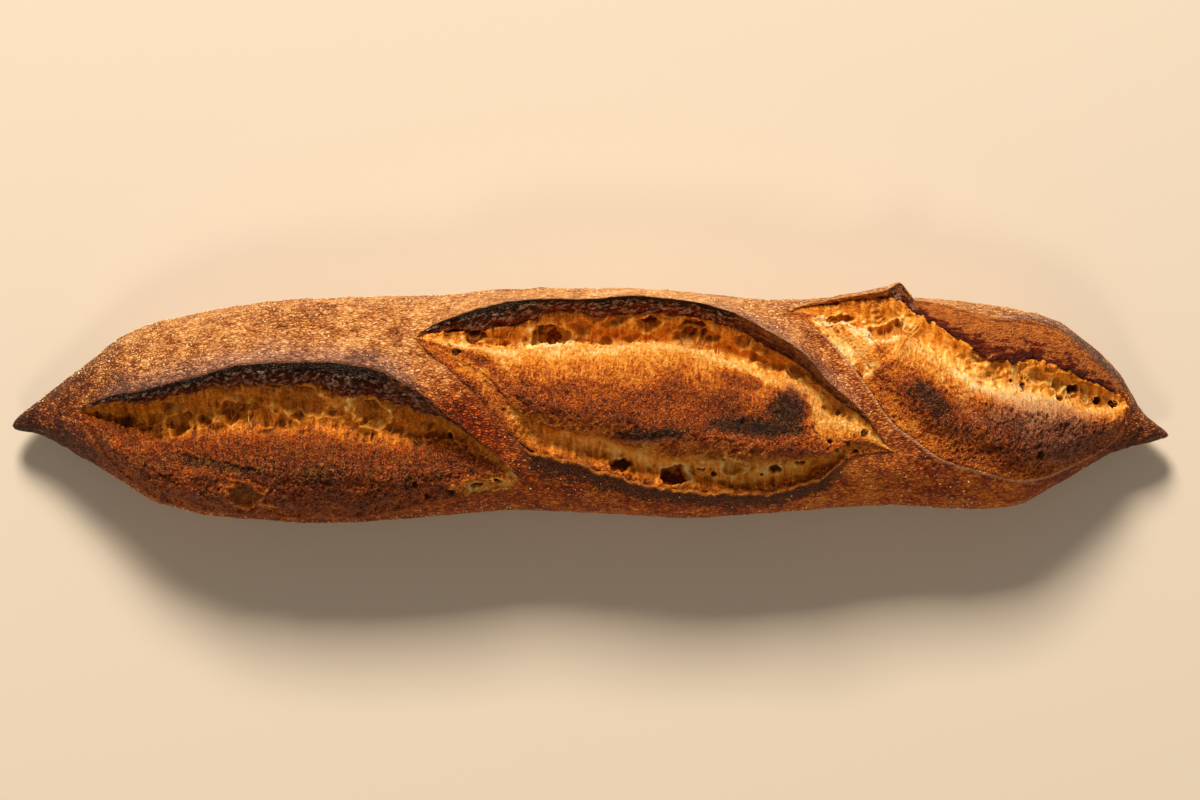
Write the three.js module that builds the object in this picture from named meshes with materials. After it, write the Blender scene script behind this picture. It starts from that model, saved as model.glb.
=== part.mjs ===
// Baguette: one slim wheat loaf with pointed ends, baked on a flat sole.
//
// Three slanting cuts opened in the oven.  In each of them torn crumb swells up between a thin lip on the
// lower side and a flap of crust, the ear, that stands up along the upper side.  The loaf is one piece, so it
// is one closed solid: a ring of points is worked out at each station along the loaf and the rings are joined.
//
// Frame: X runs along the loaf, Y across it and Z up.  The origin lies on the ground under the middle of the
// loaf.  All sizes are millimetres and all angles degrees.

import * as THREE from "three";

// ---- Driving dimensions ------------------------------------------------------------------------------

const HALF_LENGTH = 182;

// The long outline seen from above, from tip to tip: [x, y] of each side at its widest height.
const UPPER_SIDE = [
  [-182, -7.5], [-181, -5.8], [-172.6, 0.7], [-158.8, 11.2], [-146.3, 20.5], [-129.5, 26.4],
  [-108, 30.3], [-90, 32.1], [-46.7, 33.5], [-24.5, 35.4], [10, 35.5], [31, 34.2], [55, 32],
  [100, 32.4], [118.6, 31.1], [132, 29], [146.3, 25.2], [153.5, 20.5], [166, 9.1], [174.4, -4.1],
  [181, -9.2], [182, -10.5],
];
const LOWER_SIDE = [
  [-182, -7.5], [-181, -8.6], [-174.4, -9.8], [-158.8, -17.8], [-147.5, -24.4], [-135, -31.6],
  [-116, -35.8], [-82.5, -37.7], [-46.6, -35.4], [-25.7, -33.8], [7.6, -35], [31.5, -36.2], [65.5, -33.9],
  [94.7, -32], [118.6, -33.3], [129.4, -33.1], [147.6, -25], [165.5, -15.4], [176, -12.4],
  [181, -11.3], [182, -10.5],
];

// The loaf seen from the side: [x, z] of its top before the cuts opened, and of its sole.
const TOP_LINE = [
  [-182, 9.5], [-181, 12], [-170, 20], [-158, 28], [-145, 35], [-130, 41], [-110, 46], [-90, 48],
  [-20, 49], [20, 50], [60, 49], [100, 47], [125, 43], [145, 36], [158, 28], [168, 20.5], [181, 12],
  [182, 9.5],
];
const SOLE_LINE = [
  [-182, 9.5], [-181, 7.6], [-172, 4.5], [-160, 1.4], [-149, 0], [151, 0], [162, 1.5], [172, 5],
  [181, 7.8], [182, 9.5],
];

const WIDEST_AT = 0.42; // height of the widest line, as a share of the loaf's height
const SOLE_SHARE = 0.6; // half width of the flat sole, as a share of the half width above it
const TOP_ROUNDNESS = 2.15; // exponent of the rounded upper half: 2 is an ellipse, more is squarer
const CORNER_ROUNDNESS = 2.6; // the same for the two lower corners
const EAR_REACH = 6.5; // how far back from its edge an ear bends the crust upwards
const RIM_REACH = 2.5; // the same for the low lip on the other side

// The three cuts.  upper and lower are the two lips seen from above, [x, y], and start and end in the same
// points.  before and after carry the closed line on towards the tips, [x, angle], angles as in skinPoint.
// ear and rim are how high the crust lifts at the two lips, face the width of the bare face under the ear,
// lowDepth the depth of the valley behind the lower lip, swellHeight the height of the swelling crumb,
// crestFrom how far its crest lies from the upper lip, highBack how far the high valley lies from the torn
// edge under the face, and highDepth how deep that valley is, all as [x, size] along the cut.  steep is the
// face's fall for its width, and filled is 1 where the crumb rises straight from the lower lip if no valley
// lies behind it.  Sizes are taken where the cut is wide, and shrink with it towards its ends.
const CUTS = [
  {
    upper: [
      [-158.6, -1.6], [-141, 3.1], [-122.6, 7.2], [-105, 11.5], [-81, 12.3], [-68, 10.6], [-54.5, 4.6],
      [-41, -6.1], [-28, -16.8], [-21, -23.7],
    ],
    lower: [
      [-158.6, -1.6], [-157.6, -6.6], [-155.3, -11.3], [-152, -15.6], [-142.4, -25], [-130.5, -31.2],
      [-106, -34.3], [-82.5, -35.6], [-64.4, -34.5], [-49.7, -30.9], [-34.6, -27.9], [-25.6, -26.9],
      [-21, -23.7],
    ],
    before: [[-182, 95], [-170, 84]],
    after: [[-5, 32], [30, 20], [137, 13], [182, 12]],
    ear: [[-158.6, 1], [-135, 5], [-90, 7], [-62, 7], [-40, 4.5], [-21, 1]],
    face: [
      [-158.6, 0.4], [-147, 1.6], [-135, 3.2], [-119, 3.2], [-104, 5.2], [-85, 6], [-72, 8], [-62, 6.8],
      [-54, 5], [-47, 2.4], [-40, 1], [-21, 0.4],
    ],
    steep: 0.5,
    rim: [[-158.6, 0.1], [-21, 0.1]],
    lowDepth: [[-158.6, 0.3], [-21, 0.3]],
    lowValley: 6,
    swellAt: 0.42,
    swellHeight: [[-158.6, 1.2], [-21, 1.2]],
    crestFrom: [[-158.6, 29], [-50, 29], [-21, 20]],
    crestHeight: 0.6,
    highBack: [[-158.6, 10], [-50, 10], [-21, 5]],
    highDepth: [[-158.6, 9], [-55, 9], [-38, 5], [-21, 2]],
    filled: 1,
  },
  {
    upper: [
      [-55.8, 20.1], [-47, 24.3], [-31, 29.5], [-18, 31.5], [0, 31.6], [13, 32.4], [27, 31.4], [43, 27.7],
      [55, 21.4], [64.5, 15.4], [72.6, 6.3], [84.4, -4], [93.3, -15.2],
    ],
    lower: [
      [-55.8, 20.1], [-48.5, 14.1], [-33.8, 1.2], [-22.2, -12.3], [-17.3, -15.7], [-7, -18.8],
      [5, -22.2], [19, -26.4], [30, -27.8], [50, -28.8], [64.7, -26.5], [72, -22.5], [82, -16.4],
      [93.3, -15.2],
    ],
    before: [[-182, 140], [-75, 138]],
    after: [[104, 48], [118, 38], [137, 26], [182, 24]],
    ear: [[-55.8, 1], [-40, 7], [-15, 9.5], [30, 9.5], [60, 8], [80, 5], [93.3, 1]],
    face: [
      [-55.8, 0.4], [-45, 2.4], [-36, 5.2], [-28, 6.4], [-19, 5.4], [-12, 3], [-4, 2.6], [3, 4.2],
      [10, 4.4], [20, 3.6], [37, 3.4], [55, 3.6], [65, 3], [75, 2], [85, 1], [93.3, 0.4],
    ],
    steep: 0.5,
    rim: [[-55.8, 0], [-27, 0.1], [-16, 1.6], [68, 1.6], [82, 0.3], [93.3, 0]],
    lowDepth: [[-55.8, 0], [-28, 0.1], [-14, 4.5], [0, 6], [66, 6], [80, 1], [93.3, 0]],
    lowValley: 7,
    swellAt: 0.5,
    swellHeight: [[-55.8, 1], [-35, 1.4], [-10, 3], [60, 3], [93.3, 1]],
    crestFrom: [[-55.8, 16], [-35, 22], [-15, 28], [42, 28], [63, 19], [93.3, 10]],
    crestHeight: 1.6,
    highBack: [[-55.8, 4], [-15, 7.5], [42, 7.5], [63, 3], [93.3, 2]],
    highDepth: [[-55.8, 2], [-38, 5], [-12, 11], [42, 11], [60, 6], [76, 3], [93.3, 1]],
    filled: 1,
  },
  {
    upper: [
      [58, 27.2], [66.7, 30.1], [81.5, 31.4], [100, 31.4], [114, 28.9], [126, 26], [136.6, 25.7],
      [147.5, 21.6], [155, 15.5], [162, 9.2], [167, 3.5], [168.7, -2.2],
    ],
    lower: [
      [58, 27.2], [63.8, 26.1], [69, 23], [78.6, 13], [87.8, 0], [93, -6.8], [98.5, -11.1],
      [108, -17.6], [122, -21.8], [136, -24.2], [146.5, -21.3], [160.4, -14.7], [166, -9.5],
      [168.7, -2.2],
    ],
    before: [[-182, 160], [-60, 166], [30, 166], [45, 159]],
    after: [[174, 100], [182, 90]],
    ear: [[58, 0.5], [75, 3.5], [92, 7.5], [98, 7.5], [104, 2], [150, 2], [168.7, 0.5]],
    face: [
      [58, 0.4], [75, 1], [90, 3], [104, 8], [113, 12.5], [125, 15.5], [138, 16], [150, 12.5], [158, 8.5],
      [164, 4.5], [168.7, 1],
    ],
    steep: 0.2,
    rim: [[58, 0.2], [110, 0.5], [168.7, 0.5]],
    lowDepth: [[58, 0.2], [168.7, 0.2]],
    lowValley: 6,
    swellAt: 0.45,
    swellHeight: [[58, 1.6], [168.7, 1.6]],
    crestFrom: [[58, 30], [104, 31], [125, 34], [150, 33], [168.7, 28]],
    crestHeight: 0.8,
    highBack: [[58, 9], [168.7, 9]],
    highDepth: [[58, 4], [80, 7.5], [150, 7.5], [168.7, 4]],
    filled: 0,
  },
];
const FULL_WIDTH = 26; // a cut this wide or wider has its whole depth

// The most that each part of a cut's profile takes, as a share of the cut's width.
const MOST = { lowValley: 0.2, crest: 0.6, highBack: 0.22, face: 0.3 };

// The flap in the third ear: it leans outwards, slowly from one side and steeply from the other.  rise is the
// exponent of the slow side, round how softly the two sides meet in the flap's point, and point half the
// length of that point.
const FLAP = { x: 96, run: 34, rise: 1.8, drop: 4.5, lean: 6, round: 0.1, point: 3.5 };

const TORN_LIFT = 0.3; // the share of the ear's lift that the torn edge of the crust follows
const TUCKED = 1.5; // how far the crumb stays below the torn edge
const VALLEY = 3; // a valley this deep or deeper behind the lower lip is not filled at all
const STRIP = 1.2; // how far behind the flap's lip its lean is almost whole
const LEAN_REACH = 8; // how far back from the lip the flap's lean dies away

// How finely the surface is divided.
const STATION_STEP = 3.9;
const TIP_STEPS = [0.9, 2.4, 4.6, 7.4]; // extra stations, measured from each tip
const CUT_END_STEPS = [0.9, 2.2]; // extra stations, measured inwards from each end of a cut
const CORNER_STEPS = 3;
const SIDE_STEPS = 3;
const BAND_STEPS = 3;

// ---- Curves ------------------------------------------------------------------------------------------

// A smooth curve through [x, y] points that never overshoots them: cubic pieces whose slope at each inner
// point is the harmonic mean of the slopes on both sides, or level where the curve turns back.
function curveThrough(points) {
  const rise = points.slice(1).map(([x, y], i) => (y - points[i][1]) / (x - points[i][0]));
  const slopes = points.map((_, i) => {
    if (i === 0) return rise[0];
    if (i === points.length - 1) return rise[i - 1];
    const [a, b] = [rise[i - 1], rise[i]];
    return a * b > 0 ? (2 * a * b) / (a + b) : 0;
  });
  return (x) => {
    let i = points.findIndex(([px]) => px > x) - 1;
    if (i === -2) i = points.length - 2;
    i = Math.max(i, 0);
    const [x0, y0] = points[i];
    const [x1, y1] = points[i + 1];
    const width = x1 - x0;
    const t = Math.min(Math.max((x - x0) / width, 0), 1);
    const bend = width * (slopes[i] * t * (1 - t) ** 2 - slopes[i + 1] * t * t * (1 - t));
    return y0 + (y1 - y0) * t * t * (3 - 2 * t) + bend;
  };
}

const upperSide = curveThrough(UPPER_SIDE);
const lowerSide = curveThrough(LOWER_SIDE);
const topLine = curveThrough(TOP_LINE);
const soleLine = curveThrough(SOLE_LINE);

// ---- The loaf's section before the cuts opened --------------------------------------------------------

// The sizes of the section at one station.
function sectionAt(x) {
  const top = topLine(x);
  const sole = soleLine(x);
  return {
    x,
    middle: (upperSide(x) + lowerSide(x)) / 2,
    halfWidth: (upperSide(x) - lowerSide(x)) / 2,
    top,
    sole,
    widest: sole + WIDEST_AT * (top - sole),
  };
}

// A point of the upper half: angle 0 is the widest point on the -Y side, 90 the top, 180 the +Y side.
function skinPoint(section, angle) {
  const turn = THREE.MathUtils.degToRad(angle);
  const across = Math.sign(Math.cos(turn)) * Math.abs(Math.cos(turn)) ** (2 / TOP_ROUNDNESS);
  const up = Math.abs(Math.sin(turn)) ** (2 / TOP_ROUNDNESS);
  const y = section.middle - section.halfWidth * across;
  const z = section.widest + (section.top - section.widest) * up;
  return new THREE.Vector2(y, z);
}

// The outward normal of the upper half at an angle, taken as the ellipse's of the same size.
function skinNormal(section, angle) {
  const turn = THREE.MathUtils.degToRad(angle);
  const across = -Math.cos(turn) * (section.top - section.widest);
  const up = Math.sin(turn) * section.halfWidth;
  return new THREE.Vector2(across, up).normalize();
}

// The angle at which the upper half lies over y, which skinPoint turns back into y.
function angleOver(section, y) {
  const share = THREE.MathUtils.clamp((section.middle - y) / section.halfWidth, -1, 1);
  const cosine = Math.sign(share) * Math.abs(share) ** (TOP_ROUNDNESS / 2);
  return THREE.MathUtils.radToDeg(Math.acos(cosine));
}

// A point of a lower corner: side is -1 or 1, and turn runs from 0 at the widest point to 90 at the sole.
function cornerPoint(section, side, turn) {
  const angle = THREE.MathUtils.degToRad(turn);
  const flat = section.halfWidth * SOLE_SHARE;
  const across = flat + (section.halfWidth - flat) * Math.cos(angle) ** (2 / CORNER_ROUNDNESS);
  const down = Math.sin(angle) ** (2 / CORNER_ROUNDNESS);
  const z = section.widest - (section.widest - section.sole) * down;
  return new THREE.Vector2(section.middle + side * across, z);
}

// ---- The cuts ----------------------------------------------------------------------------------------

// The sizes of a cut that are given as [x, size] along it, and become curves.
const CURVED = ["ear", "rim", "face", "lowDepth", "swellHeight", "crestFrom", "highBack", "highDepth"];

// A cut's lips as angles along the whole loaf.  Outside the cut both give the same closed line.
for (const cut of CUTS) {
  const toAngle = ([x, y]) => [x, angleOver(sectionAt(x), y)];
  cut.start = cut.upper[0][0];
  cut.end = cut.upper.at(-1)[0];
  cut.upperAngle = curveThrough([...cut.before, ...cut.upper.map(toAngle), ...cut.after]);
  cut.lowerAngle = curveThrough([...cut.before, ...cut.lower.map(toAngle), ...cut.after]);
  for (const size of CURVED) cut[size] = curveThrough(cut[size]);
}

// How far the flap leans outwards at a station: the lower of its two sides, rounded where they meet by a
// logarithm of the sum of their exponentials.  lip and torn are the shares of it that the flap's lip and the
// torn edge under it follow: the lip lags behind the skin, and catches up with it in the point.
function flapAt(x) {
  const rising = THREE.MathUtils.clamp((x - FLAP.x) / FLAP.run + 1, 0, 2) ** FLAP.rise;
  const falling = THREE.MathUtils.clamp(1 - (x - FLAP.x) / FLAP.drop, 0, 2);
  const both = Math.exp(-rising / FLAP.round) + Math.exp(-falling / FLAP.round);
  const nearPoint = Math.exp(-(((x - FLAP.x) / FLAP.point) ** 2));
  const lip = 0.6 + 0.4 * nearPoint;
  return {
    lean: FLAP.lean * Math.max(-FLAP.round * Math.log(both), 0),
    lip,
    torn: lip * (0.95 - 0.4 * nearPoint),
  };
}

// What one cut looks like at one station: its two lip angles, its width across the loaf's surface, and how
// much of its full depth it has there.
function openingAt(cut, section) {
  const { x } = section;
  const lower = cut.lowerAngle(x);
  const isOpen = x > cut.start && x < cut.end;
  const upper = isOpen ? cut.upperAngle(x) : lower;
  const radius = (section.halfWidth + section.top - section.widest) / 2;
  const width = THREE.MathUtils.degToRad(upper - lower) * radius;
  const share = isOpen ? Math.min(1, width / FULL_WIDTH) : 0;
  const flap = flapAt(x);
  return {
    cut, lower, upper, radius, width, share,
    lean: cut === CUTS[2] ? flap.lean * share : 0,
    lipLean: flap.lip,
    tornLean: flap.torn,
    ear: cut.ear(x) * share,
    rim: cut.rim(x) * share,
    face: Math.min(cut.face(x), MOST.face * width),
    lowDepth: cut.lowDepth(x) * share,
    swellHeight: cut.swellHeight(x) * share,
    crestFrom: Math.min(cut.crestFrom(x), MOST.crest * width),
    back: Math.min(cut.highBack(x), MOST.highBack * width),
    highDepth: cut.highDepth(x) * share,
  };
}

// The profile across an open cut, from the lower lip to the upper one.  Each point is a distance from the
// lower lip along the loaf's surface, a height over that surface and the shares of the ear's lift and of the
// flap's lean that it follows.  The profile runs down behind the lower lip into the low valley, over the
// swelling crumb and its crest, down into the high valley, up the wall, and out to the torn edge of the
// crust, where the bare face begins.
function tornProfile(opening) {
  const { cut, width, share, face, lowDepth, swellHeight, crestFrom, back, highDepth, tornLean } = opening;
  const low = Math.min(cut.lowValley, MOST.lowValley * width);
  const crest = width - crestFrom;
  const swell = low + cut.swellAt * (crest - low);
  const high = width - face - back;
  const crestHeight = cut.crestHeight * share;
  const drop = cut.steep * face + 0.4 * share;
  const fill = cut.filled * Math.max(0, 1 - lowDepth / VALLEY) * share * swellHeight;
  return [
    [0.35 * low, 0.35 * fill - 0.75 * lowDepth, 0, 0],
    [low, 0.6 * fill - lowDepth, 0, 0],
    [low + 0.4 * (swell - low), 0.35 * (swellHeight - lowDepth) + 0.5 * fill, 0, 0],
    [swell, swellHeight, 0, 0],
    [(swell + crest) / 2, 0.55 * (swellHeight + crestHeight), 0, 0],
    [crest, crestHeight, 0, 0],
    [(crest + high) / 2, 0.42 * (crestHeight - highDepth), 0, 0],
    [high, -highDepth, 0, 0],
    [width - face - 0.45 * back, -0.9 * highDepth, 0, 0],
    [width - face - 0.4 * share, -drop - TUCKED * share, TORN_LIFT, tornLean],
    [width - face, -drop, TORN_LIFT, tornLean],
  ];
}

// What the ears, the low lips and the flap near by add to the crust at an angle: outwards and upwards.
function crustLift(openings, angle) {
  const lift = new THREE.Vector2();
  for (const { lower, upper, radius, lean, lipLean, ear, rim } of openings) {
    const fromEar = THREE.MathUtils.degToRad(Math.max(angle - upper, 0)) * radius;
    const fromRim = THREE.MathUtils.degToRad(Math.max(lower - angle, 0)) * radius;
    const earShare = angle >= upper ? Math.exp(-fromEar / EAR_REACH) : 0;
    const rimShare = angle <= lower ? Math.exp(-fromRim / RIM_REACH) : 0;
    const behindLip = 1 - (1 - lipLean) * Math.exp(-fromEar / STRIP);
    const leanShare = angle >= upper ? behindLip * Math.exp(-((fromEar / LEAN_REACH) ** 2)) : 0;
    lift.y += ear * earShare + rim * rimShare;
    lift.x += lean * leanShare;
  }
  return lift;
}

// A point on the crust, lifted by the cuts' ears and lips.
function crustPoint(section, openings, angle) {
  return skinPoint(section, angle).add(crustLift(openings, angle));
}

// ---- Rings and the closed surface ---------------------------------------------------------------------

// The ring of points round the loaf at one station, from the middle of the sole round the -Y side.
function ringAt(x) {
  const section = sectionAt(x);
  const openings = CUTS.map((cut) => openingAt(cut, section));
  const ring = [];
  const addCrust = (from, to, steps, first) => {
    for (let i = first; i <= steps; i++) {
      ring.push(crustPoint(section, openings, from + ((to - from) * i) / steps));
    }
  };
  for (let i = CORNER_STEPS; i > 0; i--) ring.push(cornerPoint(section, -1, (90 * i) / CORNER_STEPS));
  let from = 0;
  for (const opening of openings) {
    addCrust(from, opening.lower, from === 0 ? SIDE_STEPS : BAND_STEPS, from === 0 ? 0 : 1);
    const others = openings.filter((other) => other !== opening);
    for (const [distance, height, lift, lean] of tornProfile(opening)) {
      const angle = opening.lower + THREE.MathUtils.radToDeg(distance / opening.radius);
      const normal = skinNormal(section, angle).multiplyScalar(height);
      const follow = new THREE.Vector2(lean * opening.lean, lift * opening.ear);
      const point = crustPoint(section, others, angle).add(normal).add(follow);
      ring.push(opening.share > 0 ? point : ring.at(-1).clone());
    }
    ring.push(crustPoint(section, openings, opening.upper));
    from = opening.upper;
  }
  addCrust(from, 180, SIDE_STEPS, 1);
  for (let i = 1; i <= CORNER_STEPS; i++) ring.push(cornerPoint(section, 1, (90 * i) / CORNER_STEPS));
  return ring.map((point) => new THREE.Vector3(x, point.x, point.y));
}

// The stations along the loaf: even steps, with more close to the tips and to the ends of the cuts.
function stationList() {
  const last = HALF_LENGTH - TIP_STEPS.at(-1);
  const count = Math.round((2 * last) / STATION_STEP);
  const even = Array.from({ length: count + 1 }, (_, i) => -last + (2 * last * i) / count);
  const tips = TIP_STEPS.flatMap((step) => [step - HALF_LENGTH, HALF_LENGTH - step]);
  const ends = CUTS.flatMap(({ start, end }) => [
    start, ...CUT_END_STEPS.map((step) => start + step),
    ...CUT_END_STEPS.map((step) => end - step), end,
  ]);
  const fixed = [...tips, ...ends, FLAP.x, FLAP.x + FLAP.drop / 2, FLAP.x + FLAP.drop];
  const clear = even.filter((x) => fixed.every((f) => Math.abs(f - x) > STATION_STEP / 3));
  return [...fixed, ...clear].sort((a, b) => a - b);
}

// One closed body: strips between neighbouring rings and a fan to the pole at each tip.  Where a cut is
// closed its points fall together, and the faces between them are left out.
function loafGeometry() {
  const rings = stationList().map(ringAt);
  const columns = rings[0].length;
  const points = rings.flat();
  const tips = [-HALF_LENGTH, HALF_LENGTH].map((x) => {
    const { middle, sole } = sectionAt(x);
    return points.push(new THREE.Vector3(x, middle, sole)) - 1;
  });
  const faces = [];
  const addFace = (...corners) => {
    const [a, b, c] = corners.map((corner) => points[corner]);
    if (a.distanceTo(b) > 1e-3 && b.distanceTo(c) > 1e-3 && c.distanceTo(a) > 1e-3) faces.push(...corners);
  };
  const lastRing = (rings.length - 1) * columns;
  for (let j = 0; j < columns; j++) {
    const next = (j + 1) % columns;
    addFace(tips[0], j, next);
    addFace(tips[1], lastRing + next, lastRing + j);
    for (let start = 0; start < lastRing; start += columns) {
      const [a, b] = [start + j, start + next];
      const [c, d] = [a + columns, b + columns];
      if (points[a].distanceTo(points[d]) < points[b].distanceTo(points[c])) {
        addFace(a, d, b);
        addFace(a, c, d);
      } else {
        addFace(a, c, b);
        addFace(b, c, d);
      }
    }
  }
  const geometry = new THREE.BufferGeometry().setFromPoints(points);
  geometry.setIndex(faces);
  geometry.computeVertexNormals();
  return geometry;
}

const crust = new THREE.MeshStandardMaterial({ color: 0xb5702c, roughness: 0.78, metalness: 0 });

const baguette = new THREE.Mesh(loafGeometry(), crust);
baguette.name = "baguette";

const loaf = new THREE.Group();
loaf.add(baguette);

export default loaf;
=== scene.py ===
"""Baguette: one slim wheat loaf with pointed ends and three slanting cuts, seen from straight above.

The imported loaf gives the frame.  Its visible surface is made here in six closed pieces: the crust with its
ears, the torn crumb in each of the three cuts, the gluten strands drawn out over it, and the semolina grains
baked on to the skin.  Sizes are millimetres and angles degrees until a mesh is written, which is in metres.
"""

import math
from itertools import combinations

import bpy
import numpy as np
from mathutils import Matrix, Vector


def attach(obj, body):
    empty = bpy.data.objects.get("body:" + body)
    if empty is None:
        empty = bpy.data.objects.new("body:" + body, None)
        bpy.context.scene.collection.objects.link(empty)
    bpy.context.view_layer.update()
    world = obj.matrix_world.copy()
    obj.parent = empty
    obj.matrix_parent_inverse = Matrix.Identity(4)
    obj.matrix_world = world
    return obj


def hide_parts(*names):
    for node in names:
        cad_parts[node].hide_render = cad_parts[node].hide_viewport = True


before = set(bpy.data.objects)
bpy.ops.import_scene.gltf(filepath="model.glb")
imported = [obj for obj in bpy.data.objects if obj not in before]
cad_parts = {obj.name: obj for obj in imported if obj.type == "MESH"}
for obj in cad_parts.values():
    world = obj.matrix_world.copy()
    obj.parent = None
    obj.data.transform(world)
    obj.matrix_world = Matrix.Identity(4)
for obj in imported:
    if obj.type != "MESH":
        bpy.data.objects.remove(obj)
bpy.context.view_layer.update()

# ---- The loaf's driving dimensions -------------------------------------------------------------------

MM = 0.001
HALF_LENGTH = 182.0

# The long outline seen from above, from tip to tip: (x, y) of each side at its widest height.
UPPER_SIDE = [
    (-182, -7.5), (-181, -5.8), (-172.6, 0.7), (-158.8, 11.2), (-146.3, 20.5), (-129.5, 26.4),
    (-108, 30.3), (-90, 32.1), (-46.7, 33.5), (-24.5, 35.4), (10, 35.5), (31, 34.2), (55, 32),
    (100, 32.4), (118.6, 31.1), (132, 29), (146.3, 25.2), (153.5, 20.5), (166, 9.1), (174.4, -4.1),
    (181, -9.2), (182, -10.5),
]
LOWER_SIDE = [
    (-182, -7.5), (-181, -8.6), (-174.4, -9.8), (-158.8, -17.8), (-147.5, -24.4), (-135, -31.6),
    (-116, -35.8), (-82.5, -37.7), (-46.6, -35.4), (-25.7, -33.8), (7.6, -35), (31.5, -36.2),
    (65.5, -33.9), (94.7, -32), (118.6, -33.3), (129.4, -33.1), (147.6, -25), (165.5, -15.4),
    (176, -12.4), (181, -11.3), (182, -10.5),
]

# The loaf seen from the side: (x, z) of its top before the cuts opened, and of its sole.
TOP_LINE = [
    (-182, 9.5), (-181, 12), (-170, 20), (-158, 28), (-145, 35), (-130, 41), (-110, 46), (-90, 48),
    (-20, 49), (20, 50), (60, 49), (100, 47), (125, 43), (145, 36), (158, 28), (168, 20.5), (181, 12),
    (182, 9.5),
]
SOLE_LINE = [
    (-182, 9.5), (-181, 7.6), (-172, 4.5), (-160, 1.4), (-149, 0), (151, 0), (162, 1.5), (172, 5),
    (181, 7.8), (182, 9.5),
]

WIDEST_AT = 0.42  # height of the widest line, as a share of the loaf's height
SOLE_SHARE = 0.6  # half width of the flat sole, as a share of the half width above it
TOP_ROUNDNESS = 2.15  # exponent of the rounded upper half: 2 is an ellipse, more is squarer
CORNER_ROUNDNESS = 2.6  # the same for the two lower corners
EAR_REACH = 6.5  # how far back from its edge an ear bends the crust upwards
RIM_REACH = 2.5  # the same for the low lip on the other side
FULL_WIDTH = 26.0  # a cut this wide or wider has its whole depth
TORN_LIFT = 0.3  # the share of an ear's lift that the torn edge under it follows

# The flap in the third ear: it leans outwards, slowly from one side and steeply from the other.  rise is
# the exponent of the slow side, round how softly both sides meet in its point, and point that point's half
# length.
FLAP = {"x": 96.0, "run": 34.0, "rise": 1.8, "drop": 4.5, "lean": 6.0, "round": 0.1, "point": 3.5}
STRIP = 1.2  # how far behind the flap's lip its lean is almost whole
LEAN_REACH = 8.0  # how far back from the lip the flap's lean dies away

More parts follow.
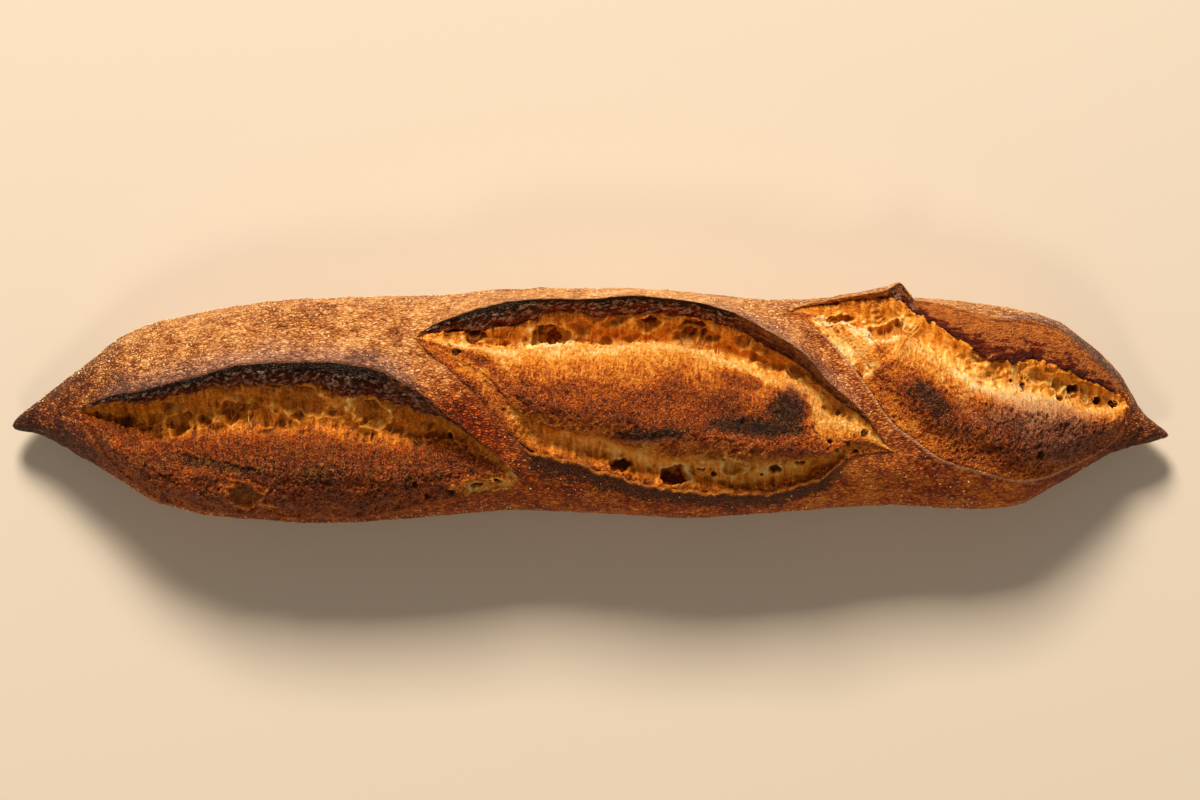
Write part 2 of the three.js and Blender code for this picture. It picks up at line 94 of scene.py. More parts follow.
# The three cuts.  upper and lower are the two lips seen from above, (x, y); before and after carry the
# closed line on towards the tips, (x, angle).  ear and rim are how high the crust lifts at the two lips,
# face the width of the bare face under the ear and steep its fall for that width.  From the lower lip the
# crumb has a valley at low_from of depth low_depth, a swelling of height swell at the share swell_at of the
# way to its crest, the crest crest_from back from the upper lip and as high as crest, and a valley
# high_back behind the torn edge of depth high_depth.  ragged is how uneven the upper and the lower lip are,
# torn how uneven the torn edge under the face is, tuck how far the crumb tucks in there, bulge how the face
# swells, and merged 1 where skin and crumb meet without an edge.
CUTS = {
    "left": {
        "upper": [
            (-158.6, -1.6), (-141, 3.1), (-122.6, 7.2), (-105, 11.5), (-81, 12.3), (-68, 10.6),
            (-54.5, 4.6), (-41, -6.1), (-28, -16.8), (-21, -23.7),
        ],
        "lower": [
            (-158.6, -1.6), (-157.6, -6.6), (-155.3, -11.3), (-152, -15.6), (-142.4, -25),
            (-130.5, -31.2), (-106, -34.3), (-82.5, -35.6), (-64.4, -34.5), (-49.7, -30.9),
            (-34.6, -27.9), (-25.6, -26.9), (-21, -23.7),
        ],
        "before": [(-182, 95), (-170, 84)],
        "after": [(-5, 32), (30, 20), (137, 13), (182, 12)],
        "ear": [(-158.6, 1), (-135, 5), (-90, 7), (-62, 7), (-40, 4.5), (-21, 1)],
        "face": [
            (-158.6, 0.4), (-147, 1.6), (-135, 3.2), (-119, 3.2), (-104, 5.2), (-85, 6), (-72, 8),
            (-62, 6.8), (-54, 5), (-47, 2.4), (-40, 1), (-21, 0.4),
        ],
        "steep": 0.5,
        "rim": [(-158.6, 0.1), (-21, 0.1)],
        "low_from": 6.0, "low_depth": [(-158.6, 0.3), (-21, 0.3)],
        "swell_at": 0.42, "swell": [(-158.6, 1.2), (-21, 1.2)],
        "crest_from": [(-158.6, 29), (-50, 29), (-21, 20)], "crest": 0.6,
        "high_back": [(-158.6, 10), (-50, 10), (-21, 5)],
        "high_depth": [(-158.6, 9), (-55, 9), (-38, 5), (-21, 2)],
        "ragged": (0.25, 0.9), "torn": 1.7, "tuck": 1.3, "bulge": 0.6, "merged": 1.0,
    },
    "middle": {
        "upper": [
            (-55.8, 20.1), (-47, 24.3), (-31, 29.5), (-18, 31.5), (0, 31.6), (13, 32.4), (27, 31.4),
            (43, 27.7), (55, 21.4), (64.5, 15.4), (72.6, 6.3), (84.4, -4), (93.3, -15.2),
        ],
        "lower": [
            (-55.8, 20.1), (-48.5, 14.1), (-33.8, 1.2), (-22.2, -12.3), (-17.3, -15.7), (-7, -18.8),
            (5, -22.2), (19, -26.4), (30, -27.8), (50, -28.8), (64.7, -26.5), (72, -22.5), (82, -16.4),
            (93.3, -15.2),
        ],
        "before": [(-182, 140), (-75, 138)],
        "after": [(104, 48), (118, 38), (137, 26), (182, 24)],
        "ear": [(-55.8, 1), (-40, 7), (-15, 9.5), (30, 9.5), (60, 8), (80, 5), (93.3, 1)],
        "face": [
            (-55.8, 0.4), (-45, 2.4), (-36, 5.2), (-28, 6.4), (-19, 5.4), (-12, 3), (-4, 2.6), (3, 4.2),
            (10, 4.4), (20, 3.6), (37, 3.4), (55, 3.6), (65, 3), (75, 2), (85, 1), (93.3, 0.4),
        ],
        "steep": 0.5,
        "rim": [(-55.8, 0), (-27, 0.1), (-16, 1.6), (68, 1.6), (82, 0.3), (93.3, 0)],
        "low_from": 7.0,
        "low_depth": [(-55.8, 0), (-28, 0.1), (-14, 4.5), (0, 6), (66, 6), (80, 1), (93.3, 0)],
        "swell_at": 0.5, "swell": [(-55.8, 1), (-35, 1.4), (-10, 3), (60, 3), (93.3, 1)],
        "crest_from": [(-55.8, 16), (-35, 22), (-15, 28), (42, 28), (63, 19), (93.3, 10)], "crest": 1.6,
        "high_back": [(-55.8, 4), (-15, 7.5), (42, 7.5), (63, 3), (93.3, 2)],
        "high_depth": [(-55.8, 2), (-38, 5), (-12, 11), (42, 11), (60, 6), (76, 3), (93.3, 1)],
        "ragged": (0.35, 2.5), "torn": 0.8, "tuck": 1.2, "bulge": 0.6, "merged": 1.0,
    },
    "right": {
        "upper": [
            (58, 27.2), (66.7, 30.1), (81.5, 31.4), (100, 31.4), (114, 28.9), (126, 26), (136.6, 25.7),
            (147.5, 21.6), (155, 15.5), (162, 9.2), (167, 3.5), (168.7, -2.2),
        ],
        "lower": [
            (58, 27.2), (63.8, 26.1), (69, 23), (78.6, 13), (87.8, 0), (93, -6.8), (98.5, -11.1),
            (108, -17.6), (122, -21.8), (136, -24.2), (146.5, -21.3), (160.4, -14.7), (166, -9.5),
            (168.7, -2.2),
        ],
        "before": [(-182, 160), (-60, 166), (30, 166), (45, 159)],
        "after": [(174, 100), (182, 90)],
        "ear": [(58, 0.5), (75, 3.5), (92, 7.5), (98, 7.5), (104, 2), (150, 2), (168.7, 0.5)],
        "face": [
            (58, 0.4), (75, 1), (90, 3), (104, 8), (113, 12.5), (125, 15.5), (138, 16), (150, 12.5),
            (158, 8.5), (164, 4.5), (168.7, 1),
        ],
        "steep": 0.2,
        "rim": [(58, 0.2), (110, 0.5), (168.7, 0.5)],
        "low_from": 6.0, "low_depth": [(58, 0.2), (168.7, 0.2)],
        "swell_at": 0.45, "swell": [(58, 1.6), (168.7, 1.6)],
        "crest_from": [(58, 30), (104, 31), (125, 34), (150, 33), (168.7, 28)], "crest": 0.8,
        "high_back": [(58, 9), (168.7, 9)],
        "high_depth": [(58, 4), (80, 7.5), (150, 7.5), (168.7, 4)],
        "ragged": (0.35, 0.15), "torn": 1.8, "tuck": 0.1, "bulge": -0.2, "merged": 0.0,
    },
}

# The most of a cut's width that each of these sizes may take.
MOST = {"low_from": 0.2, "crest_from": 0.6, "high_back": 0.22, "face": 0.3}
TRENCH = 9.5  # how far the crust dips under the crumb's surface
CRUMB_THICKNESS = 7.0
RELIEF_LIMITS = (-4.2, 3.0)  # the deepest bubble and the highest flake of the torn crumb

# How finely the pieces are divided, in millimetres between stations or as numbers of steps.
CRUST_STEP = 0.66
CRUMB_STATIONS = 440
CORNER_STEPS = 9
SKIN_STEPS = (12, 22, 20, 10)  # of the four strips of skin, from the -Y side
FACE_STEPS = 17
RIM_COLUMNS = 3  # of the crust inside a cut, over its low lip
TORN_COLUMNS = 3  # of the same, behind the torn edge
SOLE_STEPS = 6
CRUMB_COLUMNS = 192
GRAINS = 4600
STRANDS = 100  # in each cut
GRAIN_CLEAR = 2.2  # how far a grain stays from a lip
GRAIN_RADII = (0.13, 0.40)  # of the smallest and the largest grain


# ---- Curves and noise --------------------------------------------------------------------------------


def curve_through(points):
    """A smooth curve through (x, y) points that never overshoots them, as a function of an array.

    Cubic pieces whose slope at each inner point is the harmonic mean of the slopes on both sides, or level
    where the curve turns back.
    """
    px, py = np.array(points, float).T
    rise = np.diff(py) / np.diff(px)
    slope = np.concatenate([rise[:1], np.zeros(len(px) - 2), rise[-1:]])
    before, after = rise[:-1], rise[1:]
    same = before * after > 0
    slope[1:-1][same] = 2 * before[same] * after[same] / (before[same] + after[same])

    def curve(x):
        x = np.asarray(x, float)
        i = np.clip(np.searchsorted(px, x, side="right") - 1, 0, len(px) - 2)
        width = px[i + 1] - px[i]
        t = np.clip((x - px[i]) / width, 0, 1)
        bend = width * (slope[i] * t * (1 - t) ** 2 - slope[i + 1] * t * t * (1 - t))
        return py[i] + (py[i + 1] - py[i]) * t * t * (3 - 2 * t) + bend

    return curve


def spline_weights(count, at):
    """Weights that turn `count` control values into a Catmull-Rom curve's values at the places `at`.

    Each value is a cubic blend of the four nearest controls; the first and last are repeated.
    """
    at = np.clip(np.asarray(at, float), 0, count - 1)
    i = np.minimum(at.astype(int), count - 2)
    t = at - i
    blend = np.stack(
        [
            -0.5 * t + t**2 - 0.5 * t**3,
            1 - 2.5 * t**2 + 1.5 * t**3,
            0.5 * t + 2 * t**2 - 1.5 * t**3,
            -0.5 * t**2 + 0.5 * t**3,
        ]
    )
    weights = np.zeros((len(at), count))
    for step in range(4):
        np.add.at(weights, (np.arange(len(at)), np.clip(i + step - 1, 0, count - 1)), blend[step])
    return weights


def smooth_step(low, high, value):
    """0 below low, 1 above high, and a smooth cubic between."""
    t = np.clip((value - low) / (high - low), 0, 1)
    return t * t * (3 - 2 * t)


def window(low, high, soft, value):
    """1 between low and high, falling smoothly to 0 within `soft` outside them."""
    return smooth_step(low - soft, low, value) * (1 - smooth_step(high, high + soft, value))


def cell_hash(cell, seed):
    """A scattered whole number for each lattice cell: its indices times large primes, mixed by shifts."""
    mixed = (cell[..., 0] * 374761393 + cell[..., 1] * 668265263 + cell[..., 2] * 915488749) & 0xFFFFFFFF
    mixed = (mixed + seed * 1274126177) & 0xFFFFFFFF
    mixed = ((mixed ^ (mixed >> 13)) * 1274126177) & 0xFFFFFFFF
    mixed = ((mixed ^ (mixed >> 15)) * 668265263) & 0xFFFFFFFF
    return mixed ^ (mixed >> 16)


def grain_noise(points, size, seed=0, octaves=1):
    """Gradient noise from about -1 to 1 with bumps about `size` across; each octave is half the size.

    At each corner of a point's lattice cell a random direction is dotted with the way to the point, and the
    eight results are blended with a fifth-power ease.
    """
    total = 0.0
    for octave in range(octaves):
        scaled = points / (np.asarray(size, float) * 0.5**octave)
        cell = np.floor(scaled).astype(np.int64)
        local = scaled - cell
        ease = local**3 * (local * (local * 6 - 15) + 10)
        value = 0.0
        for corner in np.ndindex(2, 2, 2):
            mixed = cell_hash(cell + corner, seed + 17 * octave)
            way = local - corner
            dot = 0.0
            for axis in range(3):
                dot = dot + ((mixed >> (10 * axis)) & 1023).astype(float) * way[..., axis] / 511.5
            dot = dot - way.sum(axis=-1)
            weight = np.prod(np.where(corner, ease, 1 - ease), axis=-1)
            value = value + dot * weight
        total = total + value * 1.3 * 0.5**octave
    return total


def cell_noise(points, size, seed=0):
    """Distance to the nearest and second nearest of one random point per cell, and the nearest's own number.

    Distances are in cells of `size`; the number is between 0 and 1.
    """
    scaled = points / np.asarray(size, float)
    cell = np.floor(scaled).astype(np.int64)
    nearest = np.full(scaled.shape[:-1], 9.0)
    second = nearest.copy()
    number = np.zeros_like(nearest)
    for step in np.ndindex(3, 3, 3):
        other = cell + np.array(step) - 1
        mixed = cell_hash(other, seed)
        place = np.stack([((mixed >> (10 * axis)) & 1023) / 1023 for axis in range(3)], axis=-1)
        gap = np.linalg.norm(other + place - scaled, axis=-1)
        closer = gap < nearest
        second = np.where(closer, nearest, np.minimum(second, gap))
        number = np.where(closer, ((mixed >> 7) & 1023) / 1023, number)
        nearest = np.where(closer, gap, nearest)
    return nearest, second, number


# ---- The loaf's section ------------------------------------------------------------------------------

upper_side = curve_through(UPPER_SIDE)
lower_side = curve_through(LOWER_SIDE)
top_line = curve_through(TOP_LINE)
sole_line = curve_through(SOLE_LINE)


class Section:
    """The sizes of the loaf's section before the cuts opened, at an array of stations along the loaf."""

    def __init__(self, x):
        self.x = np.asarray(x, float)
        self.middle = (upper_side(x) + lower_side(x)) / 2
        self.half_width = (upper_side(x) - lower_side(x)) / 2
        self.top = top_line(x)
        self.sole = sole_line(x)
        self.widest = self.sole + WIDEST_AT * (self.top - self.sole)
        self.crown = self.top - self.widest
        # Of the circle that stands in for the upper half where a distance over it is turned into an angle.
        self.radius = np.maximum((self.half_width + self.crown) / 2, 1e-6)

    def at(self, y, z):
        """Points (station, column, 3) at these stations, from arrays of y and z."""
        return np.stack([np.broadcast_to(self.x[:, None], y.shape), y, z], axis=-1)

    def skin(self, angle):
        """Points on the upper half at angles: 0 is the widest point on the -Y side, 90 the top, 180 +Y.

        The half is a superellipse of exponent TOP_ROUNDNESS.  angle has one row per station.
        """
        turn = np.radians(angle)
        power = 2 / TOP_ROUNDNESS
        across = np.sign(np.cos(turn)) * np.abs(np.cos(turn)) ** power
        y = self.middle[:, None] - self.half_width[:, None] * across
        return self.at(y, self.widest[:, None] + self.crown[:, None] * np.abs(np.sin(turn)) ** power)

    def normal(self, angle):
        """Outward unit normals at angles, taken as those of the ellipse of the same size."""
        turn = np.radians(angle)
        across = -np.cos(turn) * self.crown[:, None]
        up = np.sin(turn) * self.half_width[:, None]
        length = np.hypot(across, up) + 1e-9
        return np.stack([0 * across, across / length, up / length], axis=-1)

    def angle_over(self, y):
        """The angle at which the upper half lies over y, which skin() turns back into y."""
        share = np.clip((self.middle - y) / self.half_width, -1, 1)
        return np.degrees(np.arccos(np.sign(share) * np.abs(share) ** (TOP_ROUNDNESS / 2)))

    def corner(self, side, turn):
        """Points on a lower corner: side is -1 or 1, turn from 0 at the widest point to 90 at the sole."""
        turn = np.radians(np.asarray(turn, float))[None, :]
        flat = self.half_width[:, None] * SOLE_SHARE
        power = 2 / CORNER_ROUNDNESS
        across = flat + (self.half_width[:, None] - flat) * np.abs(np.cos(turn)) ** power
        down = np.abs(np.sin(turn)) ** power
        z = self.widest[:, None] - (self.widest - self.sole)[:, None] * down
        return self.at(self.middle[:, None] + side * across, z)


# ---- The cuts ----------------------------------------------------------------------------------------


def lip_angle(cut, lip):
    """A cut's lip as an angle along the whole loaf, as a curve."""
    x, y = np.array(cut[lip], float).T
    angles = Section(x).angle_over(y)
    return curve_through(cut["before"] + list(zip(x, angles)) + cut["after"])


for cut in CUTS.values():
    cut["upper_angle"] = lip_angle(cut, "upper")
    cut["lower_angle"] = lip_angle(cut, "lower")
    for key in ("ear", "face", "rim", "low_depth", "swell", "crest_from", "high_back", "high_depth"):
        cut[key] = curve_through(cut[key])


def flap_at(x):
    """The flap's lean at each station, and the shares of it that its lip and the torn edge under it follow.

    The lean is the lower of a slow and a steep side, rounded where they meet by a logarithm of the sum of
    their exponentials.  The lip lags behind the skin, and catches up with it in the flap's point.
    """
    rising = np.clip((x - FLAP["x"]) / FLAP["run"] + 1, 0, 2) ** FLAP["rise"]
    falling = np.clip(1 - (x - FLAP["x"]) / FLAP["drop"], 0, 2)
    soft = FLAP["round"]
    both = -soft * np.log(np.exp(-rising / soft) + np.exp(-falling / soft))
    near_point = np.exp(-(((x - FLAP["x"]) / FLAP["point"]) ** 2))
    lip = 0.6 + 0.4 * near_point
    return FLAP["lean"] * np.maximum(both, 0), lip, lip * (0.95 - 0.4 * near_point)


class Opening:
    """One cut at an array of stations: its lips, its width over the surface and the share of its depth."""

    def __init__(self, name, section):
        cut = self.cut = CUTS[name]
        self.name = name
        self.others = []
        self.section = section
        x = section.x
        self.is_open = (x > cut["upper"][0][0]) & (x < cut["upper"][-1][0])
        self.lower = cut["lower_angle"](x)
        self.upper = np.where(self.is_open, cut["upper_angle"](x), self.lower)
        self.width = np.radians(self.upper - self.lower) * section.radius
        self.share = np.where(self.is_open, np.minimum(1, self.width / FULL_WIDTH), 0)
        self.ear = cut["ear"](x) * self.share
        self.rim = cut["rim"](x) * self.share
        self.low_depth = cut["low_depth"](x) * self.share
        lean, self.lip_lean, self.torn_lean = flap_at(x)
        self.lean = lean * self.share * (name == "right")
        self.face = np.minimum(cut["face"](x), MOST["face"] * self.width)
        self.line = np.stack([x, 0 * x, 0 * x], axis=-1)
        turn = 180 / math.pi / section.radius
        upper_ragged, lower_ragged = cut["ragged"]
        self.upper_ragged = upper_ragged * self.share * grain_noise(self.line, 6.5, 71, 3)
        jagged = grain_noise(self.line, 7.5, 73, 2) + 0.35 * grain_noise(self.line, 2.8, 75, 2)
        self.lower_ragged = lower_ragged * self.share * jagged
        self.upper_lip = self.upper + turn * self.upper_ragged
        self.lower_lip = self.lower + turn * self.lower_ragged

    def marks(self):
        """The places along the profile, from the lower lip, and the depths there."""
        cut, width, share, x = self.cut, self.width, self.share, self.section.x
        low = np.minimum(cut["low_from"], MOST["low_from"] * width)
        high_back = self.face + np.minimum(cut["high_back"](x), MOST["high_back"] * width)
        crest = width - np.minimum(cut["crest_from"](x), MOST["crest_from"] * width)
        swell = low + cut["swell_at"] * (crest - low)
        return {
            "low": low, "swell": swell, "crest": crest, "high": width - high_back, "width": width,
            "low_depth": self.low_depth, "high_depth": cut["high_depth"](x) * share,
            "swell_height": cut["swell"](x) * share, "crest_height": cut["crest"] * share,
            "face": self.face, "drop": cut["steep"] * self.face + 0.4 * share, "share": share,
        }

    def angle_at(self, distance):
        """The angles at distances (station, column) along the surface from the lower lip."""
        return self.lower[:, None] + np.degrees(distance / self.section.radius[:, None])

    def place(self, distance, height, lift=0.0, shift=0.0):
        """Points at distances along the surface from the lower lip and heights along its normal, then moved
        by a lift straight up, a shift along +Y and what the other cuts' ears lift there."""
        angle = self.angle_at(distance)
        points = self.section.skin(angle) + self.section.normal(angle) * height[..., None]
        points[..., 1] += shift
        points[..., 2] += lift
        return points + crust_lift(self.section, self.others, angle)


def open_cuts(section):
    """The three openings at a section's stations, each knowing the other two."""
    openings = [Opening(name, section) for name in CUTS]
    for opening in openings:
        opening.others = [other for other in openings if other is not opening]
    return openings


def past(angle, lip, radius):
    """Distance over the surface from a lip to each angle beyond it, and where that is positive."""
    gap = np.radians(angle - lip[:, None]) * radius[:, None]
    return np.maximum(gap, 0), gap >= -1e-9


def crust_lift(section, openings, angle):
    """How the ears and the low lips near by move the skin at each angle, as vectors.

    Each lift falls off exponentially with the distance from the lip, and the flap's lean as a bell.
    """
    moved = np.zeros((*angle.shape, 3))
    for opening in openings:
        away, beyond = past(angle, opening.upper_lip, section.radius)
        behind_lip = 1 - (1 - opening.lip_lean[:, None]) * np.exp(-away / STRIP)
        bell = np.exp(-((away / LEAN_REACH) ** 2))
        moved[..., 1] += opening.lean[:, None] * np.where(beyond, behind_lip * bell, 0)
        moved[..., 2] += opening.ear[:, None] * np.where(beyond, np.exp(-away / EAR_REACH), 0)
        away, beyond = past(-angle, -opening.lower_lip, section.radius)
        moved[..., 2] += opening.rim[:, None] * np.where(beyond, np.exp(-away / RIM_REACH), 0)
    return moved


# ---- Meshes ------------------------------------------------------------------------------------------


def grid_normals(points):
    """Unit normals of a grid of points (station, column, 3), pointing out of the loaf.

    The cross product of the differences along the columns and along the stations.
    """
    along = np.gradient(points, axis=0)
    across = np.gradient(points, axis=1)
    normal = np.cross(along, across)
    return normal / (np.linalg.norm(normal, axis=-1, keepdims=True) + 1e-9)


def make_mesh(name, points, triangles, uv=None, attributes=None):
    """A smooth-shaded mesh object from millimetre points and triangles, with float attributes on points.

    Triangles with two corners in one point, and points that no triangle uses, are left out.
    """
    whole = (triangles != np.roll(triangles, 1, axis=1)).all(axis=1)
    triangles = triangles[whole]
    used, renumbered = np.unique(triangles, return_inverse=True)
    triangles = renumbered.reshape(triangles.shape)
    mesh = bpy.data.meshes.new(name)
    mesh.vertices.add(len(used))
    mesh.vertices.foreach_set("co", (points[used] * MM).astype(np.float32).ravel())
    mesh.loops.add(triangles.size)
    mesh.loops.foreach_set("vertex_index", triangles.astype(np.int32).ravel())
    mesh.polygons.add(len(triangles))
    mesh.polygons.foreach_set("loop_start", np.arange(0, triangles.size, 3, dtype=np.int32))
    mesh.polygons.foreach_set("use_smooth", np.ones(len(triangles), bool))
    mesh.update(calc_edges=True)
    for key, values in (attributes or {}).items():
        layer = mesh.attributes.new(key, "FLOAT", "POINT")
        layer.data.foreach_set("value", values[used].astype(np.float32))
    if uv is not None:
        layer = mesh.uv_layers.new(name="OFBake")
        layer.data.foreach_set("uv", uv[whole].astype(np.float32).ravel())
    mesh.validate()
    made = bpy.data.objects.new(name, mesh)
    bpy.context.scene.collection.objects.link(made)
    return made


def ring_solid(name, rings, attributes):
    """A closed surface from rings of points (station, column, 3), joined ring to ring.

    Points of a ring that fall together become one, so a closed cut leaves no face and a ring that has
    shrunk to a point is a pole.  Its UV map, OFBake, lays the rings out as one rectangle, each column as
    wide as its mean spacing.
    """
    stations, columns = rings.shape[:2]
    gap = np.linalg.norm(np.diff(rings, axis=1, append=rings[:, :1]), axis=-1)
    fresh = np.ones((stations, columns), bool)
    fresh[:, 1:] = gap[:, :-1] > 1e-5
    first = np.maximum.accumulate(np.where(fresh, np.arange(columns), 0), axis=1)
    number = first + np.arange(stations)[:, None] * columns
    wrapped = np.concatenate([number, number[:, :1]], axis=1)
    a, b, c, d = wrapped[:-1, :-1], wrapped[:-1, 1:], wrapped[1:, :-1], wrapped[1:, 1:]
    across = np.concatenate([[0], np.cumsum(gap.mean(axis=0) + 1e-3)])
    across = 0.002 + 0.996 * across / across[-1]
    step = np.linalg.norm(np.diff(rings, axis=0), axis=-1).mean(axis=1)
    along = np.concatenate([[0], np.cumsum(step + 1e-3)])
    along = 0.002 + 0.996 * along / along[-1]
    u, v = np.meshgrid(across, along)
    flat = np.stack([u, v], axis=-1)
    uv_a, uv_b, uv_c, uv_d = flat[:-1, :-1], flat[:-1, 1:], flat[1:, :-1], flat[1:, 1:]
    triangles = np.concatenate([np.stack(t, axis=-1).reshape(-1, 3) for t in ((a, d, b), (a, c, d))])
    corners = [(uv_a, uv_d, uv_b), (uv_a, uv_c, uv_d)]
    uv = np.concatenate([np.stack(t, axis=-2).reshape(-1, 3, 2) for t in corners])
    values = {key: np.broadcast_to(value, (stations, columns)).ravel() for key, value in attributes.items()}
    return make_mesh(name, rings.reshape(-1, 3), triangles, uv, values)


# ---- Crust -------------------------------------------------------------------------------------------

FAR = 12.0  # what a gap is where there is no lip

# The fields over the crust and what each is where nothing sets it.
FIELDS = {
    "scorch": 0.0, "char": 0.0, "face": 0.0, "face_at": 0.0, "sole": 0.0, "ear_gap": FAR, "ear_black": 0.0,
    "rim_gap": FAR, "rim_black": 0.0, "pale": 0.0, "merging": 0.0,
}


def station_list(low, high, step, reach=3.0):
    """Even stations from low to high, with steps a third as long within `reach` of each end."""
    middle = np.linspace(low + reach, high - reach, max(2, round((high - low - 2 * reach) / step)))
    ends = reach * np.linspace(0, 1, max(3, round(3 * reach / step)), endpoint=False) ** 1.5
    return np.concatenate([low + ends, middle, high - ends[::-1]])


def set_char(opening):
    """How scorched the skin behind the ear is, and how black each lip and the cut face are, 0 to 1.

    Each window is a stretch along the loaf: its two ends and how softly it ends, in millimetres.
    """
    x = opening.section.x
    if opening.name == "left":
        opening.scorch = window(-146, -60, 14, x)
        opening.ear_char = window(-140, -62, 12, x)
        opening.rim_char = np.zeros_like(x)
        opening.face_char = np.maximum(window(-152, -68, 14, x), 0.5 * window(-152, -36, 6, x))
    elif opening.name == "middle":
        opening.scorch = window(-44, 88, 12, x) * (0.25 + 0.5 * smooth_step(25, 55, x))
        opening.ear_char = window(-40, 30, 12, x)
        opening.rim_char = window(-17, 76, 5, x)
        opening.face_char = window(-48, 40, 14, x) * (1 - 0.35 * smooth_step(-5, 30, x))
        opening.face_char = np.maximum(opening.face_char, 0.3 * window(30, 84, 4, x))
    else:
        opening.scorch = 0.2 * window(100, 170, 10, x) + 0.8 * window(136, 166, 12, x)
        opening.ear_char = 0.35 * window(92, 98, 2, x) + 0.8 * window(140, 163, 8, x)
        opening.rim_char = np.zeros_like(x)
        opening.face_char = 0.45 * window(93, 99, 3, x)


def skin_strip(section, openings, start, end, count):
    """A strip of skin between two angles: its points, angles and fields.

    The skin is scorched beside the ears, out to an uneven reach.  ear_gap and rim_gap are the distances from
    the nearest ear and low lip, and the shares beside them say how black or pale each lip is and how it
    merges with the crumb.
    """
    share = np.linspace(0, 1, count + 1)[None, :]
    angle = start[:, None] + (end - start)[:, None] * share
    points = section.skin(angle) + crust_lift(section, openings, angle)
    fields = {key: np.full_like(angle, value) for key, value in FIELDS.items()}
    for opening in openings:
        strength = opening.share[:, None]
        away, beyond = past(angle, opening.upper_lip, section.radius)
        reach = 5.5 + 3.5 * grain_noise(points, 12.0, 23)
        bloom = beyond * strength * np.exp(-((away / reach) ** 1.4))
        fields["scorch"] = np.maximum(fields["scorch"], bloom * opening.scorch[:, None])
        nearer = beyond & (strength > 0) & (away < fields["ear_gap"])
        fields["ear_gap"] = np.where(nearer, away, fields["ear_gap"])
        fields["ear_black"] = np.where(nearer, strength * opening.ear_char[:, None], fields["ear_black"])
        away, beyond = past(-angle, -opening.lower_lip, section.radius)
        nearer = beyond & (strength > 0) & (away < fields["rim_gap"])
        fields["rim_gap"] = np.where(nearer, away, fields["rim_gap"])
        fields["rim_black"] = np.where(nearer, strength * opening.rim_char[:, None], fields["rim_black"])
        fields["pale"] = np.where(nearer, strength * (opening.name == "right"), fields["pale"])
        merging = np.minimum(1, 3 * strength) * opening.cut["merged"]
        fields["merging"] = np.where(nearer, merging, fields["merging"])
    return points, angle, fields


def cut_columns(opening):
    """The crust inside a cut: over the rim, down into a trench under the crumb, up behind the torn edge and
    across the cut face to the ear's edge.

    The face climbs by a power of the share t of its width, with a bulge of half a sine wave.
    """
    m = opening.marks()
    share, face, width = m["share"], m["face"], m["width"]
    deep = TRENCH * share
    zero = np.zeros_like(width)
    torn = face * (1 + 0.3 * grain_noise(opening.line, 9.0, 31, 2))
    torn = torn + opening.cut["torn"] * np.minimum(0.3 * face, 1) * grain_noise(opening.line, 2.6, 33, 2)
    torn = np.clip(torn, 0.2 * share, 0.34 * width)
    drop = m["drop"] * (1 + 0.2 * grain_noise(opening.line, 5.0, 37, 3))
    ragged = opening.lower_ragged
    # The columns up to the torn edge: distance, height, and the shares of the ear's and the rim's lift.
    table = [
        (ragged + 0.3 * share, -0.3 * share, 0.0, 1.0),
        (ragged + 0.4 * share, -1.3 * share, 0.0, 0.5),
        (ragged - 0.4 * share, -3.0 * share, 0.0, 0.0),
        (m["low"] * 0.4, -m["low_depth"] - deep, 0.0, 0.0),
        (m["low"] * 1.2, -m["low_depth"] - deep, 0.0, 0.0),
        (m["swell"], -deep, 0.0, 0.0),
        (m["crest"], -deep, 0.0, 0.0),
        (m["high"], -m["high_depth"] - deep, 0.0, 0.0),
        (width - 0.6 * torn, -m["high_depth"] - 0.7 * deep, 0.0, 0.0),
        (width - torn + 2.6 * share, -drop - 3.8 * share, TORN_LIFT, 0.0),
        (width - torn + 0.5 * share, -drop - 1.5 * share, TORN_LIFT, 0.0),
        (width - torn - 0.1 * share, -drop - 0.7 * share, TORN_LIFT, 0.0),
    ]
    inner = len(table)
    distance = np.stack([row[0] for row in table], axis=1)
    height = np.stack([row[1] for row in table], axis=1)
    ear_share, rim_share = np.array([row[2:] for row in table]).T
    # The columns across the face, at the shares t of its width.
    t = np.arange(FACE_STEPS) / FACE_STEPS
    share, width, torn, drop, zero = (each[:, None] for each in (share, width, torn, drop, zero))
    across = width + opening.upper_ragged[:, None] * t - torn * (1 - t)
    climb = -drop * (1 - t) ** 1.2 + opening.cut["bulge"] * np.sin(np.pi * t) * share
    distance = np.concatenate([distance, across], axis=1)
    height = np.concatenate([height, climb], axis=1)
    ear_share = np.append(ear_share, TORN_LIFT + (1 - TORN_LIFT) * t**0.9)
    rim_share = np.append(rim_share, 0 * t)
    column = np.arange(inner + FACE_STEPS)
    face_at = np.append(np.zeros(inner), t)
    torn_lean, lip_lean = opening.torn_lean[:, None], opening.lip_lean[:, None]
    lean = torn_lean + (lip_lean - torn_lean) * face_at
    shift = opening.lean[:, None] * lean * (ear_share > 0)
    lift = opening.ear[:, None] * ear_share + opening.rim[:, None] * rim_share
    fade = np.minimum(1, 3 * share)
    by_rim = column < RIM_COLUMNS
    fields = {
        "char": opening.face_char[:, None] * fade * (column > inner - TORN_COLUMNS),
        "face": fade * (column >= inner - TORN_COLUMNS),
        "face_at": zero + face_at,
        "rim_gap": np.where(by_rim, 0.0, FAR),
        "rim_black": opening.rim_char[:, None] * share * by_rim,
    }
    return opening.place(distance, height, lift, shift), opening.angle_at(distance), fields


